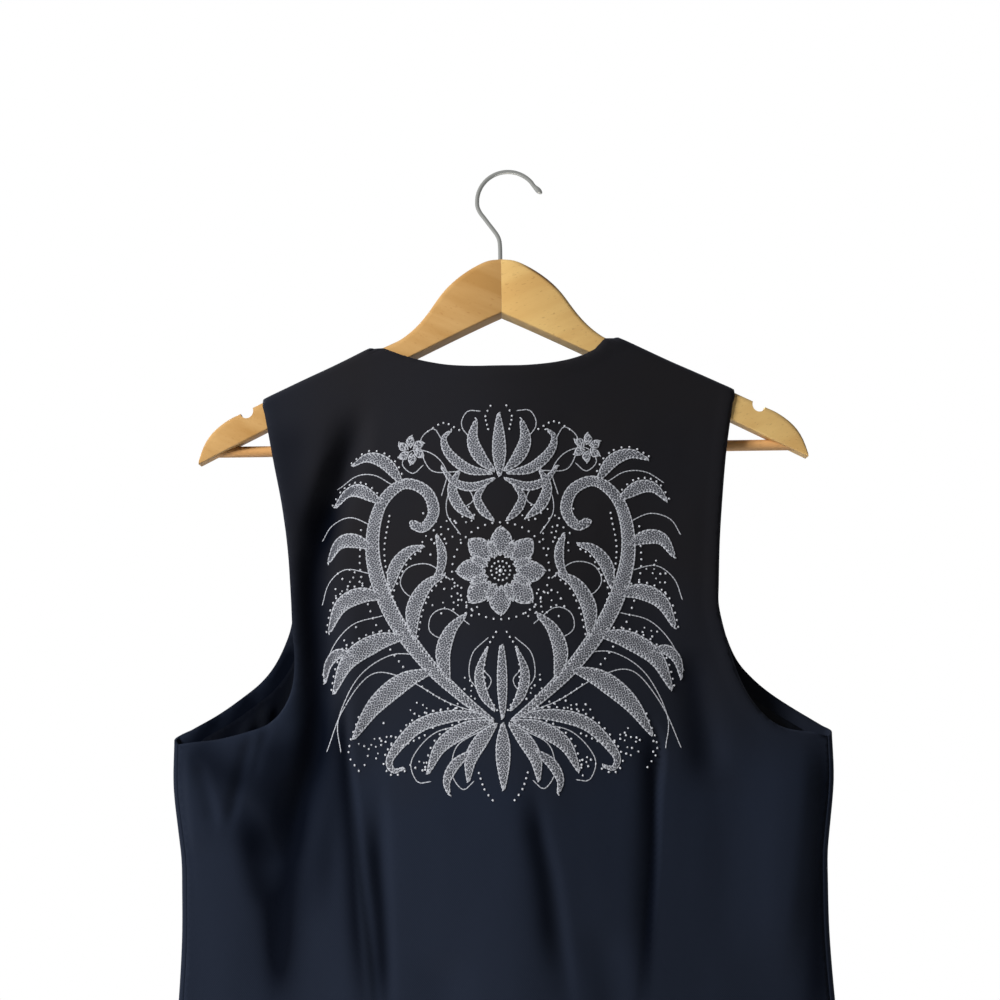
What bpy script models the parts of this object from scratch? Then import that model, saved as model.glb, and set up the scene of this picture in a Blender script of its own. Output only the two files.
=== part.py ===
"""Western vest on a contoured wooden hanger, shown from its back.

+Z is up, the back of the vest faces -Y, and the origin is the inner top of
the hook, where a rail bears. Sizes below are in millimetres.
"""
import math

import bmesh
import bpy
import numpy as np
from mathutils import Vector
from mathutils.geometry import delaunay_2d_cdt

MM = 0.001
GAP = 0.3
SEAM_GAP = 0.45

# Hook: a steel wire, an arch with a ball at its free end and a stem below
WIRE_R = 1.5
ARCH_R = 22.0
BALL_R = 2.3
STEM_X = -6.0

# Hanger: two arms that sweep towards the front of the vest, and a bar
HANGER_X = -5.5
ARM_REACH = 221.2
ARM_HALF_DEPTH = 6.5
ARM_CORNER = 4.0
ARM_SWEEP = math.tan(math.radians(14.0))
SWEEP_ROUND = 40.0
ARM_LOW_Z = -103.0
ARM_LOW_SLOPE = 0.444
ARM_END_LOW = -203.5
NOTCH_AT = 185.3
NOTCH_Z = -164.4
NOTCH_R = 5.0
BAR_R = 4.0
BAR_Z = -192.3
BAR_Y = 42.0
BAR_END = 212.0

# Height of the arm's top edge at each distance from the hanger's middle
ARM_TOP = [  # out, z
    (0.0, -63.5), (10.0, -64.7), (21.5, -70.0), (33.0, -77.8),
    (42.3, -86.8), (52.8, -100.9), (61.5, -110.4), (71.0, -117.6),
    (80.0, -121.6), (100.0, -129.2), (130.0, -140.4), (160.0, -152.5),
    (180.2, -161.0), (190.8, -165.6), (198.9, -169.1), (207.6, -174.9),
    (214.0, -181.5), (218.4, -189.5), (221.2, -198.0)]

# Vest: half widths are measured from its own middle line
VEST_X = -8.5
WALL = 1.8
CLEAR = 0.5
LINING_CLEAR = 0.8
LINING_WALL = 1.0
FRONT_Y = 49.6
SHOULDER_TIP = 170.0
NECK_CREST = {"left": 93.0, "right": 87.5}
TURN_FROM = 70.0
NECK_LIFT = 2.2
LIFT_FROM = 80.0
LIFT_TO = 130.0
HEM_Z = -640.0
SEAM_TURN = math.radians(166.0)
SEAM_LEVELS = np.linspace(HEM_Z, -402.0, 14)

# Half width of the body at each height below the armholes
SIDE = [  # z, half
    (-402.0, 234.3), (-425.0, 234.6), (-441.0, 233.5), (-463.0, 230.5),
    (-482.0, 228.0), (-502.0, 227.3), (-540.0, 227.0), (-590.0, 229.5),
    (-640.0, 234.0), (-700.0, 238.0)]

# Back neck edge from the middle out to the shoulder
BACK_NECK = {
    "left": [  # out, z
        (0.0, -141.1), (18.0, -140.9), (35.0, -139.4), (49.0, -136.5),
        (60.5, -133.2), (69.5, -129.9)],
    "right": [
        (0.0, -141.1), (18.0, -140.9), (35.0, -139.2), (49.0, -136.4),
        (60.5, -132.5), (68.5, -128.3)]}

# Where the neck edges cross each crease of the turn over the arm
BACK_NECK_TURN = {"left": [81.0, 88.0, 91.0, 92.2], "right": [75.8, 82.2, 85.2, 86.6]}
FRONT_NECK_TURN = {"left": [89.5, 91.0, 91.9, 92.5], "right": [84.0, 85.5, 86.4, 87.0]}

# Armhole edges of the back, from the shoulder down to the side seam
BACK_ARMHOLE = {
    "left": [  # out, z
        (168.6, -167.0), (165.6, -182.0), (161.0, -206.0), (155.0, -236.0),
        (151.0, -266.0), (148.8, -298.0), (147.6, -322.0), (146.0, -341.0),
        (146.6, -357.0), (149.4, -369.0), (155.6, -380.0), (165.0, -388.4),
        (179.0, -393.4), (201.0, -398.6), (220.0, -400.6)],
    "right": [
        (168.2, -165.0), (165.4, -181.0), (162.0, -203.0), (158.4, -234.0),
        (155.6, -264.0), (153.9, -294.0), (153.4, -308.0), (155.8, -322.0),
        (159.4, -336.0), (164.6, -354.0), (172.0, -370.5), (182.0, -384.0),
        (192.6, -392.8), (204.0, -397.0), (219.0, -399.0)]}

# Armhole edges of the fronts, seen past the back's edge low down
FRONT_ARMHOLE = {
    "left": [
        (167.0, -168.0), (161.0, -190.0), (154.5, -217.0), (149.0, -250.0),
        (147.0, -285.0), (151.0, -316.0), (155.4, -331.0), (163.0, -346.5),
        (173.0, -359.0), (187.0, -370.2), (203.5, -381.5), (222.5, -392.0)],
    "right": [
        (167.0, -168.0), (161.0, -190.0), (154.5, -217.0), (150.0, -250.0),
        (150.5, -280.0), (155.0, -305.0), (162.0, -331.0), (169.2, -348.0),
        (179.5, -360.5), (191.5, -371.0), (206.0, -381.0), (220.5, -390.0)]}

# Front edge: V neck, lap and pointed hem, from the shoulder down and out
LAP = 16.0
FRONT_NECK = {
    "left": [  # out, z
        (86.0, -140.0), (76.0, -170.0), (58.0, -217.0), (36.0, -270.0),
        (8.0, -322.0)],
    "right": [
        (82.0, -140.0), (74.0, -170.0), (58.0, -217.0), (36.0, -270.0),
        (8.0, -322.0)]}
NECK_END_Z = -345.0
FRONT_CORNER_Z = -662.0
FRONT_POINT = (58.0, -696.0)

# Lining: its edge along the front's own facing, and how far it stays in
# from the armhole
LINING_FACING = [  # out, z
    (96.0, -215.0), (78.0, -270.0), (54.0, -330.0), (42.0, -380.0)]
ARM_FACING = (9.0, 6.0)

# Folds and darts: a row for each, with the trough's two ends, the bow of
# its middle, its half width and its depth (minus for a ridge)
BACK_FOLDS = [  # x0, z0, x1, z1, bow, half, depth
    (-108.0, -190.0, -131.0, -262.0, 0.0, 9.0, 5.0),
    (-131.0, -262.0, -124.0, -400.0, 3.0, 11.0, 8.5),
    (-124.0, -400.0, -146.0, -490.0, 3.0, 11.0, 7.5),
    (-102.0, -300.0, -102.0, -430.0, 0.0, 9.0, -2.5),
    (-92.0, -420.0, -84.0, -560.0, 0.0, 7.0, 3.0),
    (22.0, -425.0, 38.0, -560.0, 0.0, 7.0, 2.5),
    (104.0, -392.0, 96.0, -560.0, 2.0, 8.0, 4.0),
    (138.0, -335.0, 150.0, -440.0, 0.0, 12.0, 2.5),
    (208.0, -408.0, 192.0, -520.0, 6.0, 9.0, -3.0),
    (-184.0, -404.0, -194.0, -462.0, 3.0, 7.0, 3.5),
    (-170.0, -440.0, -150.0, -520.0, 0.0, 14.0, 3.5),
    (-208.0, -412.0, -204.0, -456.0, 0.0, 6.0, -2.5),
    (60.0, -520.0, 72.0, -636.0, 0.0, 16.0, 3.0),
    (-40.0, -540.0, -46.0, -638.0, 0.0, 18.0, 3.5)]
DARTS = [  # x0, z0, x1, z1, bow, half, depth
    (-110.0, -352.0, -84.0, -625.0, 0.0, 4.5, 1.6),
    (110.0, -382.0, 84.0, -625.0, 0.0, 4.5, 1.6)]
FRONT_FOLDS = [  # out0, z0, out1, z1, bow, half, depth
    (92.0, -330.0, 84.0, -610.0, 0.0, 5.0, 1.5),
    (128.0, -300.0, 140.0, -470.0, 4.0, 20.0, 3.5),
    (60.0, -400.0, 66.0, -560.0, -3.0, 18.0, 2.5),
    (176.0, -420.0, 160.0, -600.0, 0.0, 20.0, 3.5)]

BUTTON_R = 8.5
BUTTON_HIGH = 3.2
BUTTON_FIRST_Z = -352.0
BUTTON_STEP = 68.0
BUTTONS = 5

COLOURS = {
    "cloth": (0.015, 0.016, 0.021), "lining": (0.004, 0.005, 0.008),
    "wood": (0.62, 0.37, 0.14), "bar": (0.49, 0.26, 0.10),
    "steel": (0.78, 0.78, 0.76), "button": (0.02, 0.02, 0.022)}

for thing in list(bpy.data.objects):
    bpy.data.objects.remove(thing, do_unlink=True)
PARTS = bpy.data.collections.new("western_vest")
CUTTERS = bpy.data.collections.new("cutters")
bpy.context.scene.collection.children.link(PARTS)
bpy.context.scene.collection.children.link(CUTTERS)


def material(name, colour, roughness, metallic=0.0):
    """A Principled material of one colour."""
    mat = bpy.data.materials.get(name)
    if mat is None:
        mat = bpy.data.materials.new(name)
        mat.use_nodes = True
        shader = mat.node_tree.nodes["Principled BSDF"]
        shader.inputs["Base Color"].default_value = (*COLOURS[colour], 1.0)
        shader.inputs["Roughness"].default_value = roughness
        shader.inputs["Metallic"].default_value = metallic
    return mat


def add_object(name, mesh, mat, collection=PARTS):
    """Link a mesh as a named object with its material."""
    obj = bpy.data.objects.new(name, mesh)
    collection.objects.link(obj)
    if mat:
        mesh.materials.append(mat)
    return obj


def curve_to_mesh(obj, name, mat):
    """Turn a curve object into a closed mesh object of the same place."""
    bpy.context.view_layer.update()
    evaluated = obj.evaluated_get(bpy.context.evaluated_depsgraph_get())
    mesh = bpy.data.meshes.new_from_object(evaluated)
    mesh.materials.clear()
    bm = bmesh.new()
    bm.from_mesh(mesh)
    bmesh.ops.remove_doubles(bm, verts=bm.verts, dist=0.00001)
    bm.to_mesh(mesh)
    bm.free()
    solid = add_object(name, mesh, mat)
    solid.matrix_world = obj.matrix_world
    bpy.data.objects.remove(obj, do_unlink=True)
    return solid


def move_to(obj, collection):
    """Keep an object in one collection only."""
    for owner in list(obj.users_collection):
        owner.objects.unlink(obj)
    collection.objects.link(obj)


def combine(target, other, operation):
    """Cut the other shape out of the target, or join it on."""
    move_to(other, CUTTERS)
    other.hide_render = True
    other.display_type = "WIRE"
    boolean = target.modifiers.new(other.name, "BOOLEAN")
    boolean.operation = operation
    boolean.solver = "EXACT"
    boolean.object = other


def smooth_line(points, step):
    """Points every step or so along a smooth curve through the given ones."""
    knots = [Vector(p) for p in points]
    knots = [knots[0] * 2 - knots[1]] + knots + [knots[-1] * 2 - knots[-2]]
    line = []
    for a, b, c, d in zip(knots, knots[1:], knots[2:], knots[3:]):
        pieces = max(1, round((c - b).length / step))
        for i in range(pieces):
            t = i / pieces
            line.append(0.5 * (b * 2 + (c - a) * t + (a * 2 - b * 5 + c * 4 - d) * t * t
                               + (b * 3 - a - c * 3 + d) * t ** 3))
    line.append(knots[-2])
    return [(p[0], p[1]) for p in line]


ARM_TOP_LINE = sorted(smooth_line(ARM_TOP, 3.0))
SIDE_LINE = sorted(smooth_line(SIDE, 5.0))


def ease(t):
    """0 to 1 with soft ends."""
    t = min(1.0, max(0.0, t))
    return t * t * (3.0 - 2.0 * t)


def arm_top(out):
    return float(np.interp(out, [p[0] for p in ARM_TOP_LINE], [p[1] for p in ARM_TOP_LINE]))


def arm_low(out):
    return ARM_LOW_Z - ARM_LOW_SLOPE * out


def arm_middle(out):
    """How far the arm's mid plane has swept back at this distance."""
    return ARM_SWEEP * (math.hypot(out, SWEEP_ROUND) - SWEEP_ROUND)


def side_half(z):
    return float(np.interp(z, [p[0] for p in SIDE_LINE], [p[1] for p in SIDE_LINE]))


def hanger_out(x):
    return abs(x - HANGER_X)


def relief(x, z, folds):
    """Depth of all the folds of a table at a point of the panel."""
    total = 0.0
    for x0, z0, x1, z1, bow, half, depth in folds:
        run = Vector((x1 - x0, z1 - z0))
        along = (Vector((x - x0, z - z0)) @ run) / run.length_squared
        if -0.35 < along < 1.35:
            middle = x0 + (x1 - x0) * along + bow * 4.0 * along * (1.0 - along)
            level = z0 + (z1 - z0) * along
            across = math.hypot(x - middle, z - level) / half
            fade = ease((along + 0.25) / 0.4) * ease((1.25 - along) / 0.4)
            total += depth * fade * math.exp(-across * across)
    return total


# Depth of the cloth's outer face behind its wall
FACE_OFF = ARM_HALF_DEPTH + CLEAR + WALL + 0.05
BEND_R = ARM_CORNER + CLEAR + WALL
BEND_ARC = BEND_R * math.pi / 2
TOP_FLAT = FACE_OFF - BEND_R - GAP
BEND_CREASES = [0.0, 1 / 3, 2 / 3, 1.0]
SIDE_CREASES = [0.0, 0.3, 0.6, 0.93]
UNDERARM_RISE = 7.0


def bend_start(x):
    """Height where the cloth starts to turn over the arm's top edge.

    Near the neck the stitched edge stands a little off the wood.
    """
    out = min(hanger_out(x), SHOULDER_TIP + 4.0)
    lift = NECK_LIFT * ease((LIFT_TO - out) / (LIFT_TO - LIFT_FROM))
    return arm_top(out) + lift + CLEAR + WALL + 0.1 - BEND_R


def shoulder_edge(x):
    """Height of the shoulder seam on the flat panel."""
    return bend_start(x) + BEND_ARC + TOP_FLAT


def bend_levels(x):
    """Heights, on the flat panel, of the creases of the turn."""
    return [bend_start(x) + BEND_ARC * part for part in BEND_CREASES]


def over_arm(s, start):
    """Height, and travel towards the seam, of a point s up the panel."""
    if s <= start:
        return s, 0.0
    turn = (s - start) / BEND_R
    if turn <= math.pi / 2:
        return start + BEND_R * math.sin(turn), BEND_R * (1.0 - math.cos(turn))
    return start + BEND_R, BEND_R + (s - start - BEND_ARC)


def back_plain_y(x):
    return arm_middle(hanger_out(x)) - FACE_OFF


def place_back(v, s):
    """Outer face of the back from a point of its flat panel."""
    x = VEST_X + v
    z, travel = over_arm(s, bend_start(x) if abs(v) > TURN_FROM else 0.0)
    near_side = ease((side_half(z) - abs(v) - 13.0) / 15.0)
    folds = relief(v, z, BACK_FOLDS) * near_side + relief(v, z, DARTS)
    return x, back_plain_y(x) + travel + folds, z


def side_round(z, sign):
    """Radius of the front's turn round the side to the seam."""
    seam = side_half(z) - 3.8
    return (FRONT_Y - back_plain_y(VEST_X + sign * seam)) / (1.0 - math.cos(SEAM_TURN))


def seam_half(z, sign):
    """Half width at the side seam itself."""
    r = side_round(z, sign)
    return side_half(z) - r + r * math.sin(SEAM_TURN)


def front_plain_y(x, z, sign, v):
    """Front's outer face: on the arm's back at the top, flat below the bar."""
    at_arm = arm_middle(min(hanger_out(x), SHOULDER_TIP + 4.0)) + FACE_OFF
    top = bend_start(x) - 2.0
    drop = ease((top - z) / (top - BAR_Z - 8.0))
    y = at_arm + (FRONT_Y - at_arm) * drop
    if sign > 0:
        y += (WALL + GAP) * ease((44.0 - v) / 24.0)
    return y


def place_front(sign, inset=0.0):
    """Outer face of a front, or a face inset behind it."""
    def place(v, s):
        x = VEST_X + sign * v
        z, travel = over_arm(s, bend_start(x) if z_near_top(v, s) else 0.0)
        r = side_round(z, sign)
        past = v - (side_half(z) - r)
        if past > 0.0:
            turn = past / r
            v_real = side_half(z) - r + (r - inset) * math.sin(turn)
            y = FRONT_Y - r + (r - inset) * math.cos(turn)
            return VEST_X + sign * v_real, y, z
        folds = relief(v, z, FRONT_FOLDS) * ease((side_half(z) - v - 8.0) / 16.0)
        y = front_plain_y(x, z, sign, v) - travel - folds - inset
        return x, y, z
    return place


def z_near_top(v, s):
    return abs(v) > TURN_FROM and s > -200.0


def inside(outline, points):
    """Which points lie inside a closed outline."""
    poly = np.array(outline)
    x, z = points[:, 0], points[:, 1]
    hit = np.zeros(len(points), bool)
    for (xa, za), (xb, zb) in zip(poly, np.roll(poly, -1, axis=0)):
        if za != zb:
            crosses = (za > z) != (zb > z)
            hit ^= crosses & (x < (xb - xa) * (z - za) / (zb - za) + xa)
    return hit


def panel_faces(outline, creases, across, along):
    """Points and triangles of a flat cut panel, on a staggered lattice.

    The creases are lines of points that the triangles keep to, where the
    panel turns sharply.
    """
    size = np.array((across, along))
    edge = np.array(outline) / size
    points = [tuple(p) for p in edge]
    ties = []
    for crease in creases:
        kept = None
        for point in np.array(crease) / size:
            reach = np.sqrt(((edge - point) ** 2).sum(axis=1))
            here = None
            if reach.min() < 0.001:
                here = int(reach.argmin())
            elif inside(edge, point[None, :])[0] and reach.min() > 0.05:
                here = len(points)
                points.append(tuple(point))
            if here is not None and kept is not None:
                ties.append((kept, here))
            kept = here
    fixed = np.array(points)
    low, high = edge.min(axis=0), edge.max(axis=0)
    grid = []
    for row in range(math.floor(low[1]), math.ceil(high[1]) + 1):
        for col in range(math.floor(low[0]), math.ceil(high[0]) + 1):
            grid.append((col + 0.5 * (row % 2), row))
    grid = np.array(grid, float)
    grid = grid[inside(edge, grid)]
    reach = np.sqrt(((grid[:, None, :] - fixed[None, :, :]) ** 2).sum(axis=2)).min(axis=1)
    points += [tuple(p) for p in grid[reach > 0.5]]
    ring = list(range(len(edge)))
    result = delaunay_2d_cdt([Vector(p) for p in points], ties, [ring], 1, 1e-6)
    flat = [(p[0] * across, p[1] * along) for p in result[0]]
    return flat, result[2]


def cloth(name, outline, place, mat, creases=(), wall=WALL, flip=False, across=10.0, along=20.0):
    """A cut panel: its flat outline is set in place and given a wall inwards."""
    flat, faces = panel_faces(outline, creases, across, along)
    bm = bmesh.new()
    verts = [bm.verts.new(Vector(place(v, s)) * MM) for v, s in flat]
    for face in faces:
        ring = [verts[i] for i in face]
        bm.faces.new(ring[::-1] if flip else ring)
    mesh = bpy.data.meshes.new(name)
    bm.to_mesh(mesh)
    bm.free()
    mesh.shade_smooth()
    obj = add_object(name, mesh, mat)
    solid = obj.modifiers.new("Wall", "SOLIDIFY")
    solid.thickness = wall * MM
    solid.offset = -1.0
    solid.use_even_offset = True
    return obj


def mirrored(points):
    return [(-p[0], p[1]) for p in points]


def side_name(sign):
    return "right" if sign > 0 else "left"


def shoulder_stops(sign):
    """Distances of the seam's points from the tip in to the neck."""
    return np.linspace(SHOULDER_TIP, NECK_CREST[side_name(sign)], 11)


def shoulder_points(sign):
    """Seam points from the tip in to the neck, in (out, up)."""
    return [(v, shoulder_edge(VEST_X + sign * v)) for v in shoulder_stops(sign)]


def tip_points(sign):
    """Armhole end of the turn, from the panel up to the seam."""
    return [(SHOULDER_TIP, s) for s in bend_levels(VEST_X + sign * SHOULDER_TIP)]


def neck_points(sign, turn):
    """Neck end of the turn, from the seam down to the panel."""
    return [(v, bend_levels(VEST_X + sign * v)[i])
            for i, v in enumerate(turn[side_name(sign)])][::-1]


def shoulder_creases(sign, turn):
    """Creases of the turn over the arm, in (out, up)."""
    lines = []
    for i, neck in enumerate(turn[side_name(sign)]):
        stops = [v for v in shoulder_stops(sign) if v > neck + 3.0] + [neck]
        lines.append([(v, bend_levels(VEST_X + sign * v)[i]) for v in stops])
    return lines


def back_outline():
    """Edge of the back, anticlockwise from the left end of the hem."""
    hem = [(v, HEM_Z) for v in np.linspace(-seam_half(HEM_Z, -1) + SEAM_GAP,
                                           seam_half(HEM_Z, 1) - SEAM_GAP, 46)]
    levels = SEAM_LEVELS[1:]
    right_side = [(seam_half(z, 1) - SEAM_GAP, z) for z in levels]
    left_side = [(-seam_half(z, -1) + SEAM_GAP, z) for z in levels[::-1]]
    right_arm = smooth_line(BACK_ARMHOLE["right"], 11.0)[::-1]
    left_arm = mirrored(smooth_line(BACK_ARMHOLE["left"], 11.0))
    right_neck = smooth_line(BACK_NECK["right"], 9.0)
    left_neck = smooth_line(BACK_NECK["left"], 9.0)
    right_top = (tip_points(1) + shoulder_points(1) + neck_points(1, BACK_NECK_TURN)
                 + right_neck[::-1])
    left_top = mirrored((tip_points(-1) + shoulder_points(-1)
                         + neck_points(-1, BACK_NECK_TURN) + left_neck[:0:-1])[::-1])
    return hem + right_side + right_arm + right_top + left_top + left_arm + left_side


def back_creases():
    return (shoulder_creases(1, BACK_NECK_TURN)
            + [mirrored(line) for line in shoulder_creases(-1, BACK_NECK_TURN)])


def turn_half(z, sign, share):
    """Half width on the flat panel at a share of the turn round the side."""
    r = side_round(z, sign)
    return side_half(z) - r + r * SEAM_TURN * share


def underarm_point(sign, share):
    """Where the armhole's edge crosses a crease of the turn round the side."""
    z = SEAM_LEVELS[-1] + UNDERARM_RISE * (1.0 - share)
    return turn_half(z, sign, share), z


def front_outline(sign, side):
    """Edge of a front in (out, up), anticlockwise from the hem's middle end."""
    round_side = [(turn_half(HEM_Z, sign, share), HEM_Z) for share in SIDE_CREASES]
    hem = smooth_line([(-LAP, FRONT_CORNER_Z), (20.0, -676.0), FRONT_POINT], 12.0)[:-1]
    hem += smooth_line([FRONT_POINT, (120.0, -668.0), (180.0, -649.0), round_side[0]], 12.0)
    hem += round_side[1:]
    seam = [(turn_half(z, sign, 1.0), z) for z in SEAM_LEVELS]
    arm = [underarm_point(sign, share) for share in SIDE_CREASES[::-1]]
    arm += smooth_line(FRONT_ARMHOLE[side], 12.0)[::-1]
    neck = smooth_line(FRONT_NECK[side] + [(-LAP, NECK_END_Z)], 12.0)
    centre = [(-LAP, z) for z in np.linspace(NECK_END_Z, FRONT_CORNER_Z, 18)[1:-1]]
    return (hem + seam + arm + tip_points(sign) + shoulder_points(sign)
            + neck_points(sign, FRONT_NECK_TURN) + neck + centre)


def front_creases(sign):
    lines = shoulder_creases(sign, FRONT_NECK_TURN)
    for share in SIDE_CREASES:
        lines.append([(turn_half(z, sign, share), z) for z in SEAM_LEVELS]
                     + [underarm_point(sign, share)])
    return lines


def lining_outline(sign, side):
    """Edge of a front's lining, set in from the front's own edges."""
    low = HEM_Z + 14.0
    facing_top, facing_end = LINING_FACING[0], LINING_FACING[-1]
    levels = np.linspace(low, -412.0, 12)
    seam = [(side_half(z) - side_round(z, sign) - 4.0, z) for z in levels]
    arm = [(v - ARM_FACING[0], z - ARM_FACING[1])
           for v, z in smooth_line(FRONT_ARMHOLE[side], 12.0)[::-1]
           if z - ARM_FACING[1] < facing_top[1]]
    bottom = [(v, low) for v in np.linspace(facing_end[0], seam[0][0], 17)[:-1]]
    head = [(v, facing_top[1]) for v in np.linspace(arm[-1][0], facing_top[0], 6)[1:]]
    inner = smooth_line(LINING_FACING, 16.0)[1:]
    inner += [(facing_end[0], z) for z in np.linspace(facing_end[1], low, 13)[1:-1]]
    return bottom + seam + arm + head + inner


def arm_ring(out):
    """Rounded section of an arm at one distance from the middle."""
    top, low = arm_top(out), max(arm_low(out), ARM_END_LOW)
    corner = min(ARM_CORNER, (top - low) * 0.42)
    ring = []
    for cy, cz, first in ((1, 1, 0.0), (-1, 1, 90.0), (-1, -1, 180.0), (1, -1, 270.0)):
        y0 = cy * (ARM_HALF_DEPTH - corner)
        z0 = (top - corner) if cz > 0 else (low + corner)
        for step in range(3):
            angle = math.radians(first + 45.0 * step)
            ring.append((y0 + corner * math.cos(angle), z0 + corner * math.sin(angle)))
    return ring


def hanger_arm(name, sign, mat):
    """One wooden half: a loft along the sweep, notched, with the bar's socket."""
    stations = [GAP / 2, 6.0, 12.0, 18.0, 24.0, 30.0, 36.0, 42.0, 48.0, 54.0, 60.0, 67.0,
                75.0, 85.0, 100.0, 120.0, 140.0, 160.0, 175.0, 181.0, 191.0, 198.0, 204.0,
                209.0, 213.0, 216.5, 219.2, ARM_REACH]
    bm = bmesh.new()
    rings = []
    for out in stations:
        ring = [bm.verts.new(Vector((HANGER_X + sign * out, arm_middle(out) + y, z)) * MM)
                for y, z in arm_ring(out)]
        rings.append(ring)
    count = len(rings[0])
    for a, b in zip(rings, rings[1:]):
        for i in range(count):
            j = (i + 1) % count
            bm.faces.new((a[i], a[j], b[j], b[i]))
    bm.faces.new(rings[0])
    bm.faces.new(rings[-1])
    bmesh.ops.recalc_face_normals(bm, faces=bm.faces)
    mesh = bpy.data.meshes.new(name)
    bm.to_mesh(mesh)
    bm.free()
    mesh.shade_smooth()
    mesh.set_sharp_from_angle(angle=math.radians(40))
    arm = add_object(name, mesh, mat)
    bpy.ops.mesh.primitive_cylinder_add(
        vertices=20, radius=NOTCH_R * MM, depth=0.06,
        location=((HANGER_X + sign * NOTCH_AT) * MM, arm_middle(NOTCH_AT) * MM, NOTCH_Z * MM),
        rotation=(math.pi / 2, 0.0, 0.0))
    notch = bpy.context.active_object
    notch.name = name + "_notch"
    combine(arm, notch, "DIFFERENCE")
    socket_end = BAR_END + GAP
    socket_long = 42.0
    bpy.ops.mesh.primitive_cylinder_add(
        vertices=20, radius=(BAR_R + GAP) * MM, depth=socket_long * MM,
        location=((HANGER_X + sign * (socket_end - socket_long / 2)) * MM, BAR_Y * MM,
                  BAR_Z * MM),
        rotation=(0.0, math.pi / 2, 0.0))
    socket = bpy.context.active_object
    socket.name = name + "_socket"
    combine(arm, socket, "DIFFERENCE")


def hanger_bar(mat):
    bpy.ops.mesh.primitive_cylinder_add(
        vertices=20, radius=BAR_R * MM, depth=2 * BAR_END * MM,
        location=(HANGER_X * MM, BAR_Y * MM, BAR_Z * MM), rotation=(0.0, math.pi / 2, 0.0))
    bar = bpy.context.active_object
    bar.name = "hanger_bar"
    move_to(bar, PARTS)
    bar.data.materials.append(mat)
    bar.data.shade_smooth()
    bar.data.set_sharp_from_angle(angle=math.radians(40))


def hook_route():
    """Centre line of the wire from its free tip over the arch to the wood."""
    middle_z = WIRE_R - ARCH_R
    tip = (24.2, -14.8)
    arch = [(ARCH_R * math.cos(math.radians(a)), middle_z + ARCH_R * math.sin(math.radians(a)))
            for a in range(30, 191, 20)]
    stem_top = arm_top(0.0) + GAP
    tail = [(-19.9, -28.4), (-17.0, -32.4), (-14.0, -36.6), (-10.9, -40.8), (-8.2, -44.8),
            (-6.5, -49.0), (STEM_X, -55.0), (STEM_X, stem_top)]
    return smooth_line([tip] + arch + tail, 4.5)


def hook(mat):
    """The steel hook, a bent wire with a small ball on its free end."""
    route = hook_route()
    curve = bpy.data.curves.new("hook_wire", "CURVE")
    curve.dimensions = "3D"
    curve.bevel_depth = WIRE_R * MM
    curve.bevel_resolution = 2
    curve.use_fill_caps = True
    spline = curve.splines.new("POLY")
    spline.points.add(len(route) - 1)
    for point, (x, z) in zip(spline.points, route):
        point.co = (x * MM, 0.0, z * MM, 1.0)
    wire = bpy.data.objects.new("hook_wire", curve)
    PARTS.objects.link(wire)
    solid = curve_to_mesh(wire, "hook", mat)
    bpy.ops.mesh.primitive_uv_sphere_add(segments=12, ring_count=7, radius=BALL_R * MM,
                                         location=(route[0][0] * MM, 0.0, route[0][1] * MM))
    ball = bpy.context.active_object
    ball.name = "hook_ball"
    combine(solid, ball, "UNION")
    solid.data.shade_smooth()


def buttons(mat):
    """Sewn-through buttons down the lapped edge, each with a raised rim."""
    for number in range(BUTTONS):
        z = BUTTON_FIRST_Z - number * BUTTON_STEP
        x = VEST_X
        face = FRONT_Y + WALL + GAP
        profile = [(0.0, 1.9), (5.6, 1.9), (6.6, BUTTON_HIGH), (BUTTON_R, 2.4),
                   (7.6, 0.0), (0.0, 0.0)]
        bm = bmesh.new()
        verts = [bm.verts.new((r * MM, 0.0, h * MM)) for r, h in profile]
        for a, b in zip(verts, verts[1:]):
            bm.edges.new((a, b))
        name = "button_%d" % (number + 1)
        mesh = bpy.data.meshes.new(name)
        bm.to_mesh(mesh)
        bm.free()
        obj = add_object(name, mesh, mat)
        screw = obj.modifiers.new("Turn", "SCREW")
        screw.axis = "Z"
        screw.angle = math.tau
        screw.steps = 18
        screw.render_steps = 18
        screw.use_merge_vertices = True
        screw.merge_threshold = 0.00002
        obj.rotation_euler = (-math.pi / 2, 0.0, 0.0)
        obj.location = (x * MM, (face + GAP) * MM, z * MM)


def main():
    wool = material("wool_cloth", "cloth", 0.9)
    satin = material("satin_lining", "lining", 0.45)
    wood = material("lacquered_wood", "wood", 0.35)
    dark_wood = material("bar_wood", "bar", 0.4)
    steel = material("plated_steel", "steel", 0.2, 1.0)
    horn = material("button_resin", "button", 0.3)
    hook(steel)
    hanger_arm("hanger_arm_left", -1, wood)
    hanger_arm("hanger_arm_right", 1, wood)
    hanger_bar(dark_wood)
    cloth("back", back_outline(), place_back, wool, back_creases(), across=9.0, along=19.0)
    for sign, side in ((-1, "left"), (1, "right")):
        flip = sign > 0
        cloth("front_" + side, front_outline(sign, side), place_front(sign), wool,
              front_creases(sign), flip=flip, across=13.0, along=22.0)
        inset = WALL + LINING_CLEAR
        cloth("lining_" + side, lining_outline(sign, side), place_front(sign, inset), satin,
              wall=LINING_WALL, flip=flip, across=13.0, along=22.0)
    buttons(horn)


main()
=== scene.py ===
"""Looks of the western vest: navy black twill with silver thread, on a beech hanger.

Lengths in the tables are millimetres in the part's frame, and MM turns them to metres.
On a cut panel a point is (out, up): out is measured from the vest's own middle line.
"""
import math
import random

import bmesh
import bpy
import numpy as np
from mathutils import Matrix, Vector, noise
from mathutils.geometry import delaunay_2d_cdt


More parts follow.
